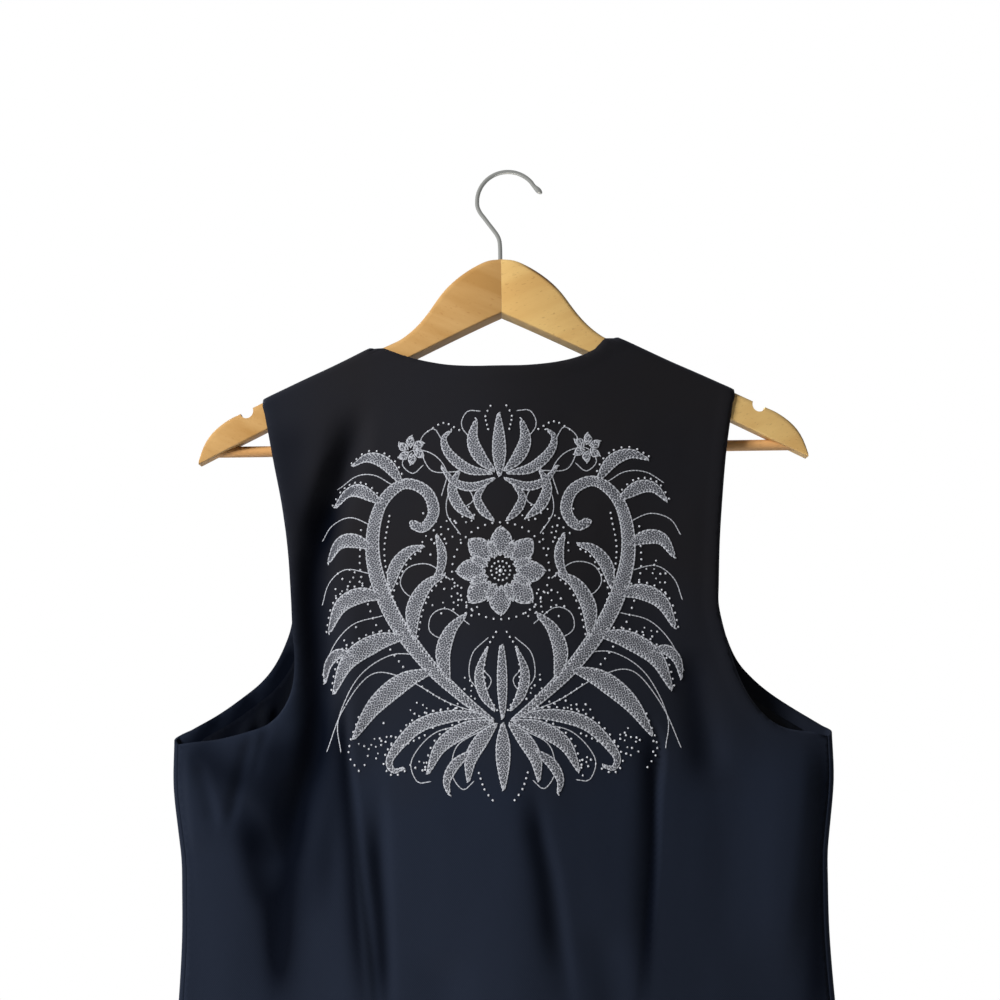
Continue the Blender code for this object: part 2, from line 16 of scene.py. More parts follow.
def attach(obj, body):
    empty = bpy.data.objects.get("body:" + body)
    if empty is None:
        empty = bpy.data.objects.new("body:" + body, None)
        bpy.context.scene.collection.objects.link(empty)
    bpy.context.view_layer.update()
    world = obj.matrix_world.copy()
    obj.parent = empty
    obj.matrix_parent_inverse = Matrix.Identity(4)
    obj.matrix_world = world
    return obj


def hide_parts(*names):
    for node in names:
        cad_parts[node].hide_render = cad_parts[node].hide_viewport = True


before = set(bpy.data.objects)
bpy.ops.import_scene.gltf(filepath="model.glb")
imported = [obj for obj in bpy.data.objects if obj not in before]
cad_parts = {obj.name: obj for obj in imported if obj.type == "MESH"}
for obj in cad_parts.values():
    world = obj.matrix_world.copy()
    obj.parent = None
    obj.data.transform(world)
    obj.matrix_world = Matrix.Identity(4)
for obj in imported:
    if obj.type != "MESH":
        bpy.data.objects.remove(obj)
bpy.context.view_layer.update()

MM = 0.001
QUARTER = math.pi / 2
SEAM = 0.12

# Hanger and hook, as the solids have them
HANGER_X = -5.5
ARM_REACH = 221.2
ARM_HALF_DEPTH = 6.5
ARM_CORNER = 4.0
ARM_LOW_CORNER = 1.3
ARM_LOW_SLANT = 1.6
ARM_SWEEP = math.tan(math.radians(14.0))
SWEEP_ROUND = 40.0
ARM_LOW_Z = -103.0
ARM_LOW_SLOPE = 0.444
ARM_END_LOW = -203.5
NOTCH_AT = 185.3
NOTCH_Z = -164.4
NOTCH_R = 5.0
BAR_R = 4.0
BAR_Z = -192.3
BAR_Y = 42.0
BAR_END = 212.0
SOCKET_END = 212.3
SOCKET_LONG = 42.0
SOCKET_PLAY = 0.1
WIRE_R = 1.5
ARCH_R = 22.0
STEM_X = -6.0
HOOK_END = (24.2, -14.8)
HOOK_TAIL = [  # x, z
    (-19.9, -28.4), (-17.0, -32.4), (-14.0, -36.6), (-10.9, -40.8), (-8.2, -44.8),
    (-6.5, -49.0), (STEM_X, -55.0)]
# The wire's end is pressed round and a little thicker
HOOK_SWELL = [0.5, 1.0, 1.25, 1.36, 1.32, 1.2, 1.1]

ARM_TOP = [  # out, z
    (0, -63.5), (10, -64.7), (21.5, -70), (33, -77.8),
    (42.3, -86.8), (52.8, -100.9), (61.5, -110.4), (71, -117.6),
    (80, -121.6), (100, -129.2), (130, -140.4), (160, -152.5),
    (180.2, -161), (190.8, -165.6), (198.9, -169.1), (207.6, -174.9),
    (214, -181.5), (218.4, -189.5), (221.2, -198)]

# Cut of the vest
VEST_X = -8.5
WALL = 1.8
CLEAR = 0.5
LINING_CLEAR = 0.8
LINING_WALL = 1.0
FRONT_Y = 49.6
SHOULDER_TIP = 170.0
SHOULDER_END = 174.0
SHOULDER_LOW = -200.0
NECK_CREST = {"left": 93, "right": 87.5}
TURN_FROM = 70.0
NECK_LIFT = 2.2
LIFT_FROM = 80.0
LIFT_TO = 130.0
HEM_Z = -640.0
SEAM_TURN = math.radians(166)
SEAM_IN = 3.8
SEAM_FROM = 215.0
SEAM_LEVELS = np.linspace(HEM_Z, -402, 40)
LAP = 16.0
LAP_FULL = 20.0
LAP_FADE = 44.0
PIECE_GAP = 0.3

SIDE = [  # z, half width
    (-402, 234.3), (-425, 234.6), (-441, 233.5), (-463, 230.5),
    (-482, 228), (-502, 227.3), (-540, 227), (-590, 229.5),
    (-640, 234), (-700, 238)]
BACK_NECK = {  # out, z
    "left": [
        (0, -141.1), (18, -140.9), (35, -139.4), (49, -136.5),
        (60.5, -133.2), (69.5, -129.9)],
    "right": [
        (0, -141.1), (18, -140.9), (35, -139.2), (49, -136.4),
        (60.5, -132.5), (68.5, -128.3)]}
BACK_NECK_TURN = {"left": [81, 88, 91, 92.2], "right": [75.8, 82.2, 85.2, 86.6]}
FRONT_NECK_TURN = {"left": [89.5, 91, 91.9, 92.5], "right": [84, 85.5, 86.4, 87]}
BACK_ARMHOLE = {
    "left": [  # out, z
        (168.6, -167), (165.6, -182), (161, -206), (155, -236),
        (151, -266), (148.8, -298), (147.6, -322), (146, -341),
        (146.6, -357), (149.4, -369), (155.6, -380), (165, -388.4),
        (179, -393.4), (201, -398.6), (220, -400.6)],
    "right": [
        (168.2, -165), (165.4, -181), (162, -203), (158.4, -234),
        (155.6, -264), (153.9, -294), (153.4, -308), (155.8, -322),
        (159.4, -336), (164.6, -354), (172, -370.5), (182, -384),
        (192.6, -392.8), (204, -397), (219, -399)]}
FRONT_ARMHOLE = {
    "left": [
        (167, -168), (161, -190), (154.5, -217), (149, -250),
        (147, -285), (151, -316), (155.4, -331), (163, -346.5),
        (173, -359), (187, -370.2), (203.5, -381.5), (222.5, -392)],
    "right": [
        (167, -168), (161, -190), (154.5, -217), (150, -250),
        (150.5, -280), (155, -305), (162, -331), (169.2, -348),
        (179.5, -360.5), (191.5, -371), (206, -381), (220.5, -390)]}
FRONT_NECK = {  # out, z
    "left": [(86, -140), (76, -170), (58, -217), (36, -270), (8, -322)],
    "right": [(82, -140), (74, -170), (58, -217), (36, -270), (8, -322)]}
NECK_END_Z = -345.0
FRONT_CORNER_Z = -662.0
FRONT_HEM_IN = [(20, -676)]
FRONT_POINT = (58, -696)
FRONT_HEM_OUT = [(120, -668), (180, -649)]
LINING_HEM_Z = -626.0
LINING_SIDE_TOP = -412.0
LINING_SIDE_IN = 4.0
LINING_FACING = [  # out, z
    (96, -215), (78, -270), (54, -330), (42, -380)]
ARM_FACING = (9, 6)

# Creases: a route down the cloth, its width left and right of the trough,
# and its depth into the cloth (minus for a ridge)
BACK_FOLDS = [
    # The long trough down from the left shoulder, and the swells beside it
    ([(-96, -164), (-108, -205), (-117, -234), (-127, -268), (-130, -300), (-128, -340),
      (-127, -376), (-130, -413), (-136, -441), (-143, -470), (-149, -520)], 13, 9, 14),
    ([(-126, -196), (-136, -226), (-146, -256)], 14, 7, -2.4),
    ([(-104, -290), (-103, -340), (-104, -390), (-106, -440)], 9, 9, -2.5),
    ([(-139, -412), (-147, -450), (-154, -500), (-160, -550), (-162, -620)], 22, 9, 6.5),
    # Beside the left dart, lower down
    ([(-86, -425), (-84, -456), (-83, -494), (-82, -540), (-80, -600)], 10, 4.5, 5),
    ([(18, -428), (24, -461), (32, -494), (38, -540), (44, -590)], 9, 5, 2.8),
    # Along the right dart, and out to the right side
    ([(102, -384), (109, -406), (105, -445), (101, -496), (93, -560)], 10, 1.6, 3.6),
    ([(129, -342), (134, -370), (141, -400), (148, -430)], 15, 11, 4),
    ([(209, -396), (208, -430), (202, -470), (195, -520), (190, -570)], 32, 14, -6),
    # Round the left underarm
    ([(-224, -402), (-222, -440), (-218, -480)], 7, 26, -4),
    ([(-214, -416), (-208, -434), (-202, -458)], 7, 3.5, 3),
    ([(-176, -395), (-185, -430), (-192, -460)], 6, 3, 3.6),
    ([(-165, -393), (-170, -406), (-174, -420)], 4.5, 3, 2.4),
    ([(-186, -440), (-170, -462), (-154, -490)], 11, 7, 3),
    ([(62, -520), (72, -575), (76, -636)], 15, 15, 3),
    ([(-40, -540), (-44, -590), (-48, -638)], 17, 17, 3.5)]
DARTS = [
    ([(-110, -352), (-107, -402), (-102, -442), (-96, -494), (-88, -560), (-84, -625)],
     3.4, 1.5, 2.3),
    ([(102, -387), (109, -406), (105, -445), (101, -496), (93, -560), (86, -625)],
     1.6, 1.4, 0.9)]
FRONT_FOLDS = [
    ([(92, -330), (88, -470), (84, -610)], 2, 2, 1.8),
    ([(114, -196), (108, -250), (98, -316)], 12, 9, 3),
    ([(128, -300), (138, -380), (140, -470)], 12, 9, 5),
    ([(60, -400), (57, -480), (66, -560)], 12, 10, 3.5),
    ([(176, -420), (168, -510), (160, -600)], 14, 9, 5.5)]
LINING_FOLDS = [
    ([(146, -300), (160, -330), (178, -350)], 5, 4, 3.2),
    ([(160, -340), (168, -372), (167, -410)], 4, 6, 4),
    ([(182, -360), (180, -384), (188, -416)], 4.5, 5, 4.2),
    ([(198, -372), (206, -396), (204, -436)], 5, 6, 3.6),
    ([(130, -290), (140, -350), (136, -440)], 9, 7, 3),
    ([(100, -330), (112, -420), (108, -520)], 12, 9, 1.6)]

# How much light the deep creases lose, in the same form with a share for the depth
BACK_HOLLOWS = [
    # The long trough, faint at its top
    ([(-102, -168), (-112, -203), (-121, -240), (-128, -270)], 8, 8, 0.45),
    ([(-119, -218), (-130, -261), (-134, -284), (-134, -316), (-133, -348), (-132, -374),
      (-137, -412), (-144, -444), (-148, -476), (-150, -509), (-154, -560), (-158, -640)],
     12, 13, 0.95),
    ([(-126, -368), (-121, -420), (-122, -470), (-128, -530)], 13, 8, 0.5),
    ([(-152, -170), (-147, -215), (-143, -266)], 17, 14, 0.4),
    # Under the left armhole
    ([(-156, -388), (-160, -430), (-156, -486)], 20, 15, 0.8),
    ([(-186, -440), (-174, -493), (-163, -523), (-158, -580)], 9, 12, 0.8),
    ([(-222, -402), (-200, -420), (-176, -432)], 14, 14, 0.65),
    # Beside the darts
    ([(-113, -362), (-109, -428), (-105, -476), (-102, -523), (-95, -600)], 7, 3, 0.9),
    ([(-92, -446), (-88, -493), (-85, -523), (-82, -590)], 6, 5, 0.85),
    ([(100, -380), (102, -428), (102, -476), (99, -523), (91, -600)], 9, 3, 1),
    ([(18, -432), (22, -470), (26, -500), (31, -560)], 9, 6, 0.85),
    # The right side
    ([(131, -335), (134, -390), (136, -442)], 10, 11, 0.65),
    ([(229, -398), (228, -450), (224, -490), (218, -530), (213, -640)], 12, 16, 0.95)]
FRONT_HOLLOWS = {
    "left": [
        ([(150, -335), (159, -358), (168, -379)], 7, 7, 0.9),
        ([(180, -369), (190, -391), (200, -413)], 8, 8, 0.9),
        ([(206, -385), (218, -401), (230, -413)], 6, 6, 0.9),
        ([(136, -316), (175, -368), (205, -390), (234, -408)], 34, 34, 0.45)],
    "right": [([(150, -330), (165, -352), (185, -372), (208, -390)], 5, 26, 0.8)]}

BUTTON_R = 8.5
BUTTON_FOOT_R = 7.6
BUTTON_RIM_LOW = 2.4
BUTTON_HIGH = 3.2
BUTTON_DISH = 1.9
BUTTON_HOLE = 1.5
BUTTON_CLEAR = 0.35
BUTTON_FIRST_Z = -352.0
BUTTON_STEP = 68.0
BUTTONS = 5

# Step of the fine lattice over each kind of panel
BACK_STEP = 2.9
LINING_STEP = 3.0
FRONT_STEP = 4.0
EDGE_STEP = 3.0

# The rib is drawn about twice as wide as the real one, so that it shows
TWILL_RIB = 1.1
TWILL_SLANT = math.radians(38.0)


def smooth_line(points, step):
    """Points every step or so along a smooth curve through the given ones."""
    knots = [Vector(p) for p in points]
    knots = [knots[0] * 2 - knots[1]] + knots + [knots[-1] * 2 - knots[-2]]
    line = []
    for a, b, c, d in zip(knots, knots[1:], knots[2:], knots[3:]):
        pieces = max(1, round((c - b).length / step))
        for i in range(pieces):
            t = i / pieces
            line.append(0.5 * (b * 2 + (c - a) * t + (a * 2 - b * 5 + c * 4 - d) * t * t
                               + (b * 3 - a - c * 3 + d) * t ** 3))
    line.append(knots[-2])
    return [tuple(p) for p in line]


ARM_TOP_LINE = sorted(smooth_line(ARM_TOP, 1.5))
SIDE_LINE = sorted(smooth_line(SIDE, 3.0))


def ease(t):
    """0 to 1 with soft ends."""
    t = min(1.0, max(0.0, t))
    return t * t * (3.0 - 2.0 * t)


def ease_all(t):
    t = np.clip(t, 0.0, 1.0)
    return t * t * (3.0 - 2.0 * t)


def arm_top(out):
    return float(np.interp(out, [p[0] for p in ARM_TOP_LINE], [p[1] for p in ARM_TOP_LINE]))


def arm_low(out):
    return max(ARM_LOW_Z - ARM_LOW_SLOPE * out, ARM_END_LOW)


def arm_middle(out):
    """How far the arm's mid plane has swept towards the vest's front."""
    return ARM_SWEEP * (math.hypot(out, SWEEP_ROUND) - SWEEP_ROUND)


def side_half(z):
    return float(np.interp(z, [p[0] for p in SIDE_LINE], [p[1] for p in SIDE_LINE]))


def hanger_out(x):
    return abs(x - HANGER_X)


def side_name(sign):
    return "right" if sign > 0 else "left"


# The scene's cloth lies a hair outside the solid's own face
FACE_HAIR = 0.05
TOP_HAIR = 0.1
FACE_OFF = ARM_HALF_DEPTH + CLEAR + WALL + FACE_HAIR
BEND_R = ARM_CORNER + CLEAR + WALL
BEND_ARC = BEND_R * QUARTER
TOP_FLAT = FACE_OFF - BEND_R - SEAM
BEND_CREASES = [0.0, 0.17, 0.34, 0.5, 0.67, 0.84, 1.0]
SIDE_CREASES = [0.0, 0.12, 0.24, 0.36, 0.48, 0.6, 0.72, 0.84, 0.93]
UNDERARM_RISE = 7.0


def bend_start(x):
    """Height where the cloth starts to turn over the arm's top edge.

    Near the neck the stitched edge stands a little off the wood.
    """
    out = min(hanger_out(x), SHOULDER_END)
    lift = NECK_LIFT * ease((LIFT_TO - out) / (LIFT_TO - LIFT_FROM))
    return arm_top(out) + lift + CLEAR + WALL + TOP_HAIR - BEND_R


def over_arm(s, start):
    """Height, and travel towards the seam, of a point s up the panel."""
    if s <= start:
        return s, 0.0
    turn = (s - start) / BEND_R
    if turn <= QUARTER:
        return start + BEND_R * math.sin(turn), BEND_R * (1.0 - math.cos(turn))
    return start + BEND_R, BEND_R + (s - start - BEND_ARC)


def back_plain_y(x):
    return arm_middle(hanger_out(x)) - FACE_OFF


def relief(points, folds):
    """Depth of all the creases of a table at each point of a panel."""
    points = np.asarray(points, float)
    total = np.zeros(len(points))
    for route, left, right, depth in folds:
        line = np.array(smooth_line(route, 8.0))
        steps = np.linalg.norm(np.diff(line, axis=0), axis=1)
        before = np.concatenate([[0.0], np.cumsum(steps)])
        best = np.full(len(points), 1e9)
        side = np.zeros(len(points))
        at = np.zeros(len(points))
        for i in range(len(steps)):
            run = line[i + 1] - line[i]
            t = np.clip((points - line[i]) @ run / (steps[i] ** 2), 0.0, 1.0)
            off = points - line[i] - t[:, None] * run
            far = np.hypot(off[:, 0], off[:, 1])
            near = far < best
            best = np.where(near, far, best)
            side = np.where(near, run[0] * off[:, 1] - run[1] * off[:, 0], side)
            at = np.where(near, before[i] + t * steps[i], at)
        half = np.where(side > 0.0, right, left)
        fade = ease_all((at + 6.0) / min(0.3 * before[-1], 48.0))
        fade = fade * ease_all((before[-1] + 6.0 - at) / (0.35 * before[-1]))
        total += depth * fade * np.exp(-(best / half) ** 2)
    return total


def unevenness(points, size, strength, seed):
    """A soft random relief, stretched down the cloth as hanging cloth has it."""
    return np.array([strength * noise.noise(Vector((v / size, z / (size * 2.6), seed)))
                     for v, z in points])


def edge_distance(points, edges):
    """How far each point is from the nearest of some outline edges."""
    best = np.full(len(points), 1e9)
    for a, b in edges:
        run = b - a
        long = max(float(run @ run), 1e-9)
        t = np.clip((points - a) @ run / long, 0.0, 1.0)
        off = points - a - t[:, None] * run
        best = np.minimum(best, np.hypot(off[:, 0], off[:, 1]))
    return best


def outline_edges(outline):
    ring = np.array(outline)
    return list(zip(ring, np.roll(ring, -1, axis=0)))


def place_back(v, s, depth):
    """Outer face of the back from a point of its flat panel."""
    x = VEST_X + v
    z, travel = over_arm(s, bend_start(x) if abs(v) > TURN_FROM else 0.0)
    return x, back_plain_y(x) + travel + depth, z


def back_depth(points):
    """Depth of every fold, dart and unevenness of the back at its points."""
    points = np.asarray(points, float)
    # Folds fade towards the side seams, and unevenness towards the shoulders
    near_side = ease_all((np.array([side_half(z) for z in points[:, 1]])
                          - np.abs(points[:, 0]) - 4.5) / 9.0)
    above = ease_all((-165.0 - points[:, 1]) / 30.0)
    soft = unevenness(points, 46.0, 1.5, 3.1) + unevenness(points, 17.0, 0.35, 8.4)
    return (relief(points, BACK_FOLDS) * near_side + relief(points, DARTS)
            + soft * above * near_side)


def side_round(z, sign):
    """Radius of the front's turn round the side to the seam."""
    seam = side_half(z) - SEAM_IN
    return (FRONT_Y - back_plain_y(VEST_X + sign * seam)) / (1.0 - math.cos(SEAM_TURN))


def seam_half(z, sign):
    """Half width at the side seam itself."""
    r = side_round(z, sign)
    return side_half(z) - r + r * math.sin(SEAM_TURN)


def front_plain_y(x, z, sign, v):
    """Front's outer face: on the arm's back at the top, flat below the bar."""
    at_arm = arm_middle(min(hanger_out(x), SHOULDER_END)) + FACE_OFF
    top = bend_start(x) - 2.0
    drop = ease((top - z) / (top - BAR_Z - 8.0))
    y = at_arm + (FRONT_Y - at_arm) * drop
    if sign > 0:
        y += (WALL + PIECE_GAP) * ease((LAP_FADE - v) / (LAP_FADE - LAP_FULL))
    return y


def place_front(sign, inset=0.0):
    """Outer face of a front, or a face inset behind it."""
    def place(v, s, depth):
        x = VEST_X + sign * v
        z, travel = over_arm(s, bend_start(x) if abs(v) > TURN_FROM and s > SHOULDER_LOW else 0.0)
        r = side_round(z, sign)
        past = v - (side_half(z) - r)
        if past > 0.0:
            turn = past / r
            reach = r - inset - depth * ease(1.0 - turn)
            return (VEST_X + sign * (side_half(z) - r + reach * math.sin(turn)),
                    FRONT_Y - r + reach * math.cos(turn), z)
        return x, front_plain_y(x, z, sign, v) - travel - depth - inset, z
    return place


def inside(outline, points):
    """Which points lie inside a closed outline."""
    poly = np.array(outline)
    x, z = points[:, 0], points[:, 1]
    hit = np.zeros(len(points), bool)
    for (xa, za), (xb, zb) in zip(poly, np.roll(poly, -1, axis=0)):
        if za != zb:
            crosses = (za > z) != (zb > z)
            hit ^= crosses & (x < (xb - xa) * (z - za) / (zb - za) + xa)
    return hit


def panel_faces(outline, creases, step):
    """Points and triangles of a flat cut panel, on a staggered lattice.

    The creases are lines of points that the triangles keep to, where the
    panel turns sharply.
    """
    edge = np.array(outline)
    points = [tuple(p) for p in edge]
    ties = []
    for crease in creases:
        kept = None
        for point in np.array(crease):
            reach = np.hypot(*(edge - point).T)
            here = None
            if reach.min() < 0.05:
                here = int(reach.argmin())
            elif inside(edge, point[None, :])[0] and reach.min() > 0.4:
                here = len(points)
                points.append(tuple(point))
            if here is not None and kept is not None:
                ties.append((kept, here))
            kept = here
    low, high = edge.min(axis=0), edge.max(axis=0)
    rise = step * math.sqrt(0.75)
    rows = np.arange(low[1], high[1], rise)
    grid = np.array([(low[0] + step * (col + 0.5 * (row % 2)), z)
                     for row, z in enumerate(rows)
                     for col in range(int((high[0] - low[0]) / step) + 1)])
    grid = grid[inside(edge, grid)]
    grid = grid[edge_distance(grid, outline_edges(edge)) > 0.45 * step]
    if len(points) > len(edge):
        fixed = np.array(points[len(edge):])
        far = [np.hypot(*(fixed - p).T).min() > 0.5 * step for p in grid]
        grid = grid[far]
    points += [tuple(p) for p in grid]
    ring = list(range(len(edge)))
    result = delaunay_2d_cdt([Vector(p) for p in points], ties, [ring], 1, 1e-5)
    return [tuple(p) for p in result[0]], result[2]


def linked(name, data):
    obj = bpy.data.objects.new(name, data)
    bpy.context.scene.collection.objects.link(obj)
    return obj


def seat(obj, node):
    """Seat a piece on the one body, in place of its solid."""
    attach(obj, "root")
    if node:
        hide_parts(node)
    return obj


def new_piece(name, mesh, mats, node=None):
    for mat in mats:
        mesh.materials.append(mat)
    return seat(linked(name, mesh), node)


# Relief of a turned edge: the cloth rolls away at its rim, and the allowance
# folded in behind it stands a little proud
ROLL = 1.0
ROLL_WIDE = 1.6
TURNED_WIDE = 8.0
TURNED_HIGH = 0.35


def turned_edge(far):
    """Depth of a turned edge at each distance from it."""
    roll = ROLL * (1.0 - ease_all(far / ROLL_WIDE))
    ledge = TURNED_HIGH * (1.0 - ease_all((far - TURNED_WIDE) / 2.5)) * ease_all(far / 2.5)
    return roll - ledge


def cloth(name, outline, place, mats, depth_of, creases=(), wall=WALL, flip=False,
          step=FRONT_STEP, hollows=()):
    """A cut panel set in its hanging place, with a wall on its inner side."""
    flat, faces = panel_faces(outline, creases, step)
    depth = depth_of(np.array(flat))
    bm = bmesh.new()
    shade = bm.verts.layers.float.new("hollow")
    verts = [bm.verts.new(Vector(place(v, s, d)) * MM) for (v, s), d in zip(flat, depth)]
    for vert, share in zip(verts, np.clip(relief(flat, hollows), 0.0, 1.0)):
        vert[shade] = share
    for face in faces:
        ring = [verts[i] for i in face]
        bm.faces.new(ring[::-1] if flip else ring)
    uv = bm.loops.layers.uv.new("cut")
    where = {vert: point for vert, point in zip(verts, flat)}
    for face in bm.faces:
        face.smooth = True
        for loop in face.loops:
            loop[uv].uv = Vector(where[loop.vert]) * MM
    mesh = bpy.data.meshes.new(name)
    bm.to_mesh(mesh)
    bm.free()
    obj = new_piece(name + "_cloth", mesh, mats, name)
    solid = obj.modifiers.new("Wall", "SOLIDIFY")
    solid.thickness = wall * MM
    solid.offset = -1.0
    solid.use_even_offset = True
    solid.material_offset = len(mats) - 1
    return obj


def mirrored(points):
    return [(-p[0], p[1]) for p in points]


def shoulder_edge(x):
    return bend_start(x) + BEND_ARC + TOP_FLAT


def bend_levels(x):
    return [bend_start(x) + BEND_ARC * share for share in BEND_CREASES]


def shoulder_stops(sign):
    return np.linspace(SHOULDER_TIP, NECK_CREST[side_name(sign)], 24)


def shoulder_points(sign):
    return [(v, shoulder_edge(VEST_X + sign * v)) for v in shoulder_stops(sign)]


def tip_points(sign):
    return [(SHOULDER_TIP, s) for s in bend_levels(VEST_X + sign * SHOULDER_TIP)]


def neck_turn(turn):
    """The neck edge's distance at each crease, from the four given ones."""
    given = np.linspace(0.0, 1.0, len(turn))
    return [float(np.interp(share, given, turn)) for share in BEND_CREASES]


def neck_points(sign, turn):
    return [(v, bend_levels(VEST_X + sign * v)[i])
            for i, v in enumerate(neck_turn(turn[side_name(sign)]))][::-1]


def shoulder_creases(sign, turn):
    lines = []
    for i, neck in enumerate(neck_turn(turn[side_name(sign)])):
        stops = [v for v in shoulder_stops(sign) if v > neck + 2.0] + [neck]
        lines.append([(v, bend_levels(VEST_X + sign * v)[i]) for v in stops])
    return lines


def back_half(sign):
    """Edge of one half of the back in (out, up), from beside the hem to the neck."""
    side = side_name(sign)
    return ([(seam_half(z, sign) - SEAM, z) for z in SEAM_LEVELS[1:]]
            + smooth_line(BACK_ARMHOLE[side], EDGE_STEP)[::-1]
            + tip_points(sign) + shoulder_points(sign) + neck_points(sign, BACK_NECK_TURN)
            + smooth_line(BACK_NECK[side], EDGE_STEP)[::-1])


def back_outline():
    hem = [(v, HEM_Z) for v in np.linspace(-seam_half(HEM_Z, -1) + SEAM,
                                           seam_half(HEM_Z, 1) - SEAM, 140)]
    return hem + back_half(1) + mirrored(back_half(-1)[-2::-1])


def back_creases():
    return (shoulder_creases(1, BACK_NECK_TURN)
            + [mirrored(line) for line in shoulder_creases(-1, BACK_NECK_TURN)])


def turn_half(z, sign, share):
    r = side_round(z, sign)
    return side_half(z) - r + r * SEAM_TURN * share


def underarm_point(sign, share):
    z = SEAM_LEVELS[-1] + UNDERARM_RISE * (1.0 - share)
    return turn_half(z, sign, share), z


def front_outline(sign, side):
    """Edge of a front in (out, up), anticlockwise from the hem's middle end."""
    round_side = [(turn_half(HEM_Z, sign, share), HEM_Z) for share in SIDE_CREASES]
    hem = smooth_line([(-LAP, FRONT_CORNER_Z)] + FRONT_HEM_IN + [FRONT_POINT], EDGE_STEP)[:-1]
    hem += smooth_line([FRONT_POINT] + FRONT_HEM_OUT + [round_side[0]], EDGE_STEP)
    hem += round_side[1:]
    seam = [(turn_half(z, sign, 1.0), z) for z in SEAM_LEVELS]
    arm = [underarm_point(sign, share) for share in SIDE_CREASES[::-1]]
    arm += smooth_line(FRONT_ARMHOLE[side], EDGE_STEP)[::-1]
    neck = smooth_line(FRONT_NECK[side] + [(-LAP, NECK_END_Z)], EDGE_STEP)
    centre = [(-LAP, z) for z in np.linspace(NECK_END_Z, FRONT_CORNER_Z, 90)[1:-1]]
    return (hem + seam + arm + tip_points(sign) + shoulder_points(sign)
            + neck_points(sign, FRONT_NECK_TURN) + neck + centre)


def front_creases(sign):
    lines = shoulder_creases(sign, FRONT_NECK_TURN)
    for share in SIDE_CREASES:
        lines.append([(turn_half(z, sign, share), z) for z in SEAM_LEVELS]
                     + [underarm_point(sign, share)])
    return lines


def lining_outline(sign, side):
    """Edge of a front's lining, set in from the front's own edges."""
    low = LINING_HEM_Z
    facing_top, facing_end = LINING_FACING[0], LINING_FACING[-1]
    seam = [(side_half(z) - side_round(z, sign) - LINING_SIDE_IN, z)
            for z in np.linspace(low, LINING_SIDE_TOP, 50)]
    arm = [(v - ARM_FACING[0], z - ARM_FACING[1])
           for v, z in smooth_line(FRONT_ARMHOLE[side], EDGE_STEP)[::-1]
           if z - ARM_FACING[1] < facing_top[1]]
    bottom = [(v, low) for v in np.linspace(facing_end[0], seam[0][0], 40)[:-1]]
    head = [(v, facing_top[1]) for v in np.linspace(arm[-1][0], facing_top[0], 16)[1:]]
    inner = smooth_line(LINING_FACING, 4.0)[1:]
    inner += [(facing_end[0], z) for z in np.linspace(facing_end[1], low, 60)[1:-1]]
    return bottom + seam + arm + head + inner


def sewn(point):
    """Whether an outline point of the back lies on a seam."""
    v, s = point
    if s < SEAM_LEVELS[-1] + 0.1:
        return abs(v) > SEAM_FROM
    return abs(v) > TURN_FROM and abs(s - shoulder_edge(VEST_X + v)) < 0.5


def back_relief(outline):
    """Depth of the back's folds with its turned edges, for a set of points."""
    edges = outline_edges(outline)
    seams = [edge for edge in edges if sewn(edge[0]) and sewn(edge[1])]
    free = [edge for edge in edges if not (sewn(edge[0]) and sewn(edge[1]))]

    def depth_of(points):
        rim = turned_edge(edge_distance(points, free))
        return back_depth(points) + rim * ease_all(edge_distance(points, seams) / 8.0)
    return depth_of


def lining_relief(outline):
    """Depth of a lining: it follows its front, with creases of its own inside."""
    edges = outline_edges(outline)

    def depth_of(points):
        inner = ease_all((edge_distance(points, edges) - 2.0) / 9.0)
        return relief(points, FRONT_FOLDS) + relief(points, LINING_FOLDS) * inner
    return depth_of


def hex_colour(code):
    """Linear colour from an sRGB hex value."""
    parts = [int(code[i:i + 2], 16) / 255.0 for i in (1, 3, 5)]
    return tuple(c / 12.92 if c <= 0.04045 else ((c + 0.055) / 1.055) ** 2.4
                 for c in parts) + (1.0,)


def give(tree, node, settings):
    """Set a node's properties and inputs.

    A node, or (node, output), is linked, and a hex code becomes a colour.
    """
    for key, value in settings.items():
        source = value if isinstance(value, tuple) else (value, 0)
        if isinstance(source[0], bpy.types.Node):
            tree.links.new(source[0].outputs[source[1]], node.inputs[key])
        elif key == "stops":
            bands = node.color_ramp.elements
            while len(bands) < len(value):
                bands.new(0.5)
            for band, (place, code) in zip(bands, value):
                band.position = place
                band.color = hex_colour(code)
        elif isinstance(key, int) or key in node.inputs:
            plain = hex_colour(value) if isinstance(value, str) else value
            node.inputs[key].default_value = plain
        else:
            setattr(node, key, value)


def add(tree, kind, settings):
    """Add a node with its settings and links."""
    node = tree.nodes.new("ShaderNode" + kind)
    give(tree, node, settings)
    return node


def new_material(name):
    """A material, its node tree, and the place on the object that its patterns read."""
    mat = bpy.data.materials.new(name)
    mat.use_nodes = True
    return mat, mat.node_tree, (add(mat.node_tree, "TexCoord", {}), "Object")


def finish(mat, settings):
    """Give a material's shader its values and patterns."""
    give(mat.node_tree, mat.node_tree.nodes["Principled BSDF"], settings)
    return mat


def hollowed(tree, tone):
    """Base colour of cloth, darker where its deep creases lose the light."""
    deep = (add(tree, "Attribute", {"attribute_name": "hollow"}), "Fac")
    left = add(tree, "MapRange", {"Value": deep, "To Min": 1.0, "To Max": 0.04})
    lit = add(tree, "VectorMath", {"operation": "SCALE", 0: tone, "Scale": left})
    cold = add(tree, "VectorMath", {"operation": "SCALE", 0: hex_colour("#02040b")[:3],
                                    "Scale": deep})
    return add(tree, "VectorMath", {"operation": "ADD", 0: lit, 1: cold})


